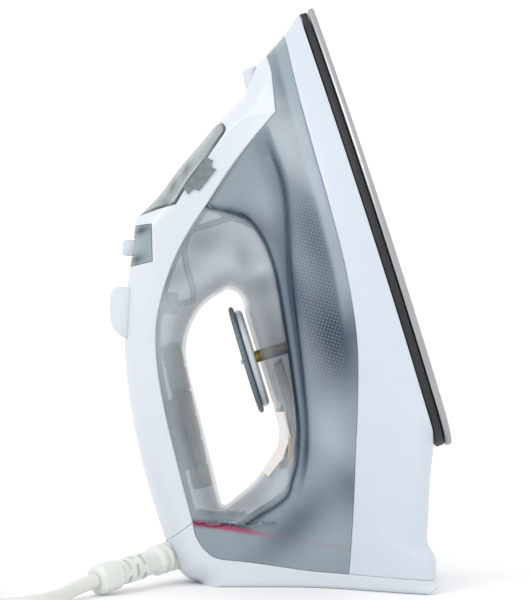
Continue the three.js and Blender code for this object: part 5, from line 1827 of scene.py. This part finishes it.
BUTTONS = Buttons()
SLIDER = Slider()
NOZZLE = Nozzle()


# ---------------------------------------------------------------- cord, guard and plug
GUARD_YAW = math.radians(50)
GUARD_DROOP = math.radians(7)
GUARD_LINE = Vector((
    -math.cos(GUARD_YAW) * math.cos(GUARD_DROOP), -math.sin(GUARD_YAW) * math.cos(GUARD_DROOP),
    -math.sin(GUARD_DROOP),
))


@dataclass
class Cord:
    """The mains cord from its swivelling guard to its plug."""

    radius: float = 3.5
    guard_length: float = 64.0
    coil_centre: Place = (-207.0, -50.0)
    plug_rear: tuple[float, float, float] = (-196.0, -73.0, 32.6)
    plug_length: float = 36.0
    sleeve_length: float = 22.0
    off_floor: float = 0.3  # under the cord, so that it clears the floor
    outside: float = 56.4  # the coil's outer turn
    leaving: float = 38.5  # the radius at which the cord leaves the coil
    leaving_height: float = 18.1

    @property
    def ball(self) -> Vector:
        """The middle of the guard's swivel."""
        return SOLE.vector(*GUARD_BALL)

    def lead(self) -> Array:
        """The stretch from the guard down to the floor and out to the coil, in mm.

        Returns:
            Points in mm, one row each.
        """
        start = np.array(self.ball) / MM + np.array(GUARD_LINE) * (self.guard_length + 0.3)
        lift = self.radius + self.off_floor
        return np.array([
            start, start + 6 * np.array(GUARD_LINE), (-112.5, -60.5, 5), (-116.3, -69.5, lift),
            (-119.9, -78.5, lift), (-124, -87, lift), (-129.8, -94.2, lift), (-137.2, -99.8, lift),
            (-146.2, -103.6, lift), (-158, -105.9, lift), (-172, -106.7, lift), (-190, -106.4, lift),
        ])

    def coil(self) -> Array:
        """The coil: a spiral in on the floor, a climb, and a spiral out on top of it, in mm.

        The turn runs clockwise seen from above from the coil's south side. The radius falls by a
        diameter a turn below and grows by one above, and the height eases up between them.

        Returns:
            Points in mm, one row each.
        """
        pitch, low = 2 * self.radius + 0.15, self.radius + self.off_floor
        below, climb, above, over = 3.75, 0.32, 2.1, 0.33
        turn = np.arange(0, below + climb + above + over, 1 / 48)
        t1, t2, t3 = below, below + climb, below + climb + above
        inside = self.outside - pitch * t1
        climbed = inside - 0.3 * pitch * climb
        end = climbed + pitch * above
        radius = np.select(
            [turn < t1, turn < t2, turn < t3],
            [self.outside - pitch * turn, inside - 0.3 * pitch * (turn - t1), climbed + pitch * (turn - t2)],
            end,
        )
        away = smooth(turn, t3, t3 + over)
        radius = np.where(turn > t3, end + (self.leaving - end) * away, radius)
        height = low + pitch * smooth(turn, t1 - 0.02, t2) + (self.leaving_height - low - pitch) * away
        angle = -math.pi / 2 - 2 * math.pi * turn
        x, y = self.coil_centre
        return np.stack([x + radius * np.cos(angle), y + radius * np.sin(angle), height], axis=1)

    def tail(self) -> Array:
        """The stretch from the coil's top round to the plug, in mm.

        Returns:
            Points in mm, one row each.
        """
        x, y, z = self.plug_rear
        low = self.leaving_height
        sleeve = x + self.sleeve_length
        return np.array([
            (-196, -12.8, low), (-181, -18, low + 1), (-168, -28, low + 4), (-160.5, -40, low + 8),
            (-158, -53, low + 12), (-161, -65, z - 1), (sleeve + 6, y, z), (sleeve + 0.3, y, z),
        ])

    def build(self) -> None:
        guard = self.guard()
        plug = self.plug()
        points = np.vstack([self.lead(), self.coil(), self.tail()])
        path = spline(points, 620) * MM
        tube = swept("mains_cord", path, self.radius * MM, 16)
        finished(tube, Look.CORD, nodes=["cord_lead", "cord_coil", "cord_tail"])

    def guard(self) -> bpy.types.Object:
        """The bend guard: a ball in the heel, ribs, a slotted neck and a collar.

        Returns:
            The guard.
        """
        around = np.radians(np.linspace(-90, 40, 14))
        ball = [(8 * math.cos(a), 8 * math.sin(a)) for a in around]
        ball[0] = (0.0, -8.0)
        ribs = repeated(3, ((7.4, 10.5), (7.4, 13), (5.6, 13.6), (5.6, 14.9)), (0, 5))
        profile = softened([
            *ball, (5.6, 6.4), (5.6, 10), *ribs, (5.9, 31), (6.4, 33), (6.0, 49), (7.2, 51),
            (7.2, self.guard_length - 1.5), (5.7, self.guard_length), (0, self.guard_length),
        ], 0.6, 3)
        sleeve = turned("bend_guard", profile, self.ball, GUARD_LINE, 56)
        line = np.array(GUARD_LINE)
        side = np.cross(line, [0, 0, 1.0])
        side /= np.linalg.norm(side)
        over = np.cross(line, side)
        slots = []
        for i in range(3):
            for k in range(4):
                angle = math.pi / 4 + k * math.pi / 2 + (i % 2) * math.pi / 4
                out = math.cos(angle) * side + math.sin(angle) * over
                middle = np.array(self.ball) + (35.6 + 5.0 * i) * MM * line + 6.4 * MM * out
                slots.append(brick("slot", middle, line, np.cross(line, out), (1.9, 6.2, 3.4)))
        carve(sleeve, Cut.AWAY, joined("slots", slots))
        return finished(sleeve, Look.GUARD, "guard", nodes=["cord_guard"])

    def plug(self) -> list[bpy.types.Object]:
        """The moulded plug with its ribbed sleeve; its two pins stay as they are.

        Returns:
            The body, the sleeve and the two pins.
        """
        rear = Vector(self.plug_rear) * MM
        back = Vector((-1, 0, 0))
        grip = repeated(4, ((13.2, 6.5), (13.2, 8.3), (12.2, 8.9), (12.4, 9.5)), (0.9, 3.6))
        body = turned("plug_moulding", softened([
            (0, 0), (8.5, 0), (12.4, 4.6), *grip, (17.6, 22.4), (18, 24), (18, self.plug_length - 1.2),
            (16.8, self.plug_length), (0, self.plug_length),
        ], 0.8), rear, back, 64)
        rings = repeated(5, ((5.1, 2.4), (5.1, 4.2), (4.3, 4.7), (4.3, 5.4)), (0.3, 3.4))
        start = rear - back * self.sleeve_length * MM
        long = self.sleeve_length - 0.3
        sleeve = turned("plug_relief", softened([
            (0, 0), (4.4, 0), (4.6, 2), *rings, (6.4, long), (0, long),
        ], 0.5), start, back, 40)
        finished(body, Look.GUARD, nodes=["plug_body"])
        finished(sleeve, Look.GUARD, nodes=["plug_sleeve"])
        pins = [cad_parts["plug_pin_live"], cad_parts["plug_pin_neutral"]]
        return [body, sleeve, *pins]


def brick(name: str, middle: Array, along: Array, across: Array, size: Sequence[float]) -> bpy.types.Object:
    """A box for cutting: its size in mm is given along, across and through.

    Args:
        name: the box's name.
        middle: its middle, in metres.
        along: its first direction.
        across: its second direction.
        size: its three sizes in mm.

    Returns:
        The new object.
    """
    through = np.cross(along, across)
    axes = [np.asarray(a) * s * MM / 2 for a, s in zip((along, across, through), size)]
    signs = np.array([[i, j, k] for i in (-1, 1) for j in (-1, 1) for k in (-1, 1)])
    points = middle + signs @ np.array(axes)
    faces = [(0, 1, 3, 2), (4, 6, 7, 5), (0, 4, 5, 1), (2, 3, 7, 6), (0, 2, 6, 4), (1, 5, 7, 3)]
    return tidy_mesh(mesh_object(name, points, faces))


# ---------------------------------------------------------------- what shows through
@dataclass
class Insides:
    """Finishes of the carried-over inner nodes, and the small mouldings seen through the shells."""

    looks: dict[Look, tuple[str, ...]] = field(default_factory=lambda: {
        Look.CAST: ("soleplate_casting",),
        Look.PLAIN_STEEL: (
            "heating_element", "element_pin_left", "element_pin_right", "chamber_plate", "chamber_screw_1",
            "chamber_screw_2", "steam_spring", "spray_spring", "steam_valve_rod", "lid_pin", "rear_screw",
        ),
        Look.BRASS: ("dial_spindle", "thermostat_blade", "valve_seat", "plug_pin_live", "plug_pin_neutral"),
        Look.CREAM: (
            "thermostat", "thermal_fuse", "steam_pump", "spray_pump", "steam_piston", "spray_piston",
            "spray_tube", "cord_clamp", "terminal_block",
        ),
        Look.WHITE: ("fill_inlet", "dial_pointer"),
        Look.AMBER: ("pilot_lamp",),
        Look.BOARD: ("auto_off_board",),
        Look.NAVY: ("relay",),
        Look.DARK: ("capacitor",),
        Look.SEAL: ("tank_seal",),
        Look.WIRE: ("lead_live", "lead_neutral"),
        Look.CORD: ("inner_cord",),
    })

    def build(self) -> None:
        """Dresses the inner nodes and adds the mouldings."""
        for look, names in self.looks.items():
            for name in names:
                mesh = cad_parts[name].data
                mesh.materials.clear()
                mesh.materials.append(look.material())
                log.info("%s: %s", name, look.value.name)
        self.sleeves()
        self.moulding("lamp_pocket", Look.TAN, "cream_plastic", [
            (62, 66.5), (60, 71.5), (38, 71.5), (22, 74.5), (14, 79.5), (7, 80.5), (14, 75), (30, 70),
            (50, 66.5),
        ], 3.2)
        self.moulding("grip_block", Look.NAVY, "navy_plastic", [
            (50, 123.5), (50, 128), (59, 127.4), (59, 123),
        ], 2.6)
        self.moulding("grip_strip", Look.DARK, "cream_plastic", [
            (24, 125), (24, 129), (49, 127.6), (49, 124),
        ], 2.8)

    @staticmethod
    def sleeves() -> None:
        """The stack of short sleeves that runs through the clear grip."""
        foot, head = np.array([12.0, 123.0]), np.array([86.0, 117.8])
        long = float(np.linalg.norm(head - foot))
        count = 6
        step = long / count
        rings = repeated(count, ((4.4, 0.4), (5.0, 1.0), (5.0, step - 1.0), (4.4, step - 0.4)), (0, step))
        axis = SOLE.direction(*(head - foot))
        stack = turned("grip_sleeves", [(0, 0.4), *rings, (0, long - 0.4)], SOLE.vector(*foot), axis, 32)
        finished(stack, Look.CREAM)

    @staticmethod
    def moulding(name: str, look: Look, slot: str, outline: Sequence[Place], inside: float) -> None:
        """A block inside the shells over an outline, that many mm inside the body's sides.

        Args:
            name: the piece's name.
            look: its finish.
            slot: not used.
            outline: places in the side view, right round.
            inside: mm inside the body's sides.
        """
        places = np.asarray(outline, float)
        piece = sideways_prism(name, places, np.maximum(body_half_width(places) - inside, 4))
        bevel = piece.modifiers.new("edges", "BEVEL")
        bevel.width = 0.8 * MM
        bevel.segments = 2
        finished(settle(piece), look)


# ---------------------------------------------------------------- studio
@dataclass
class Studio:
    """Camera, soft lights and a plain pale floor."""

    distance: float = 0.95
    eye: tuple[float, float] = (-0.0226, 0.1405)
    seen_height: float = 0.3

    def build(self) -> None:
        """Sets up the camera first, then the light and the floor."""
        self.camera()
        self.light()
        self.floor()

    def camera(self) -> None:
        """A level camera that looks along +Y at the iron's side."""
        data = bpy.data.cameras.new("camera")
        data.sensor_width = 36.0
        data.lens = 36.0 * self.distance / self.seen_height
        data.clip_start = 0.01
        camera = bpy.data.objects.new("camera", data)
        camera.location = (self.eye[0], -self.distance, self.eye[1])
        camera.rotation_euler = (math.pi / 2, 0, 0)
        bpy.context.scene.collection.objects.link(camera)
        bpy.context.scene.camera = camera

    def light(self) -> None:
        """A white surround with two large soft lamps."""
        world = bpy.data.worlds.new("surround")
        bpy.context.scene.world = world
        world.use_nodes = True
        back = world.node_tree.nodes["Background"]
        back.inputs["Color"].default_value = (1.0, 1.0, 1.0, 1.0)
        back.inputs["Strength"].default_value = 1.1
        bpy.context.scene.view_settings.view_transform = "Standard"
        for name, place, size, power in (
            ("key", (-0.9, -0.9, 1.1), 0.7, 6.0), ("fill", (1.1, -0.6, 0.7), 0.8, 1.5),
        ):
            lamp = bpy.data.lights.new(name, "AREA")
            lamp.size = size
            lamp.energy = power
            holder = bpy.data.objects.new(name, lamp)
            holder.location = place
            aim = Vector((-0.03, 0, 0.14)) - Vector(place)
            holder.rotation_euler = aim.to_track_quat("-Z", "Y").to_euler()
            bpy.context.scene.collection.objects.link(holder)

    def floor(self) -> None:
        """A wide pale floor with a faint mottle."""
        size = 6.0
        corners = [(-size, -size, 0), (size, -size, 0), (size, size, 0), (-size, size, 0)]
        ground = mesh_object("floor", np.array(corners), [(0, 1, 2, 3)])
        n = Nodes("pale_floor")
        where = n.add("TexCoord").outputs["Object"]
        mottle = n.noise(where, 60)
        n.put(n.shader, "Base Color", n.blend(mottle, (0.93, 0.93, 0.93, 1), (0.95, 0.95, 0.95, 1)))
        n.put(n.shader, "Roughness", 0.7)
        ground.data.materials.append(n.material)


def main() -> None:
    """Builds the studio, the cord and then the iron."""
    logging.basicConfig(level=logging.INFO, format="%(message)s")
    Studio().build()
    Cord().build()
    Housing().build()
    Sole().build()
    Dial().build()
    BUTTONS.build()
    SLIDER.build()
    NOZZLE.build()
    Insides().build()


if __name__ == "__main__":
    main()
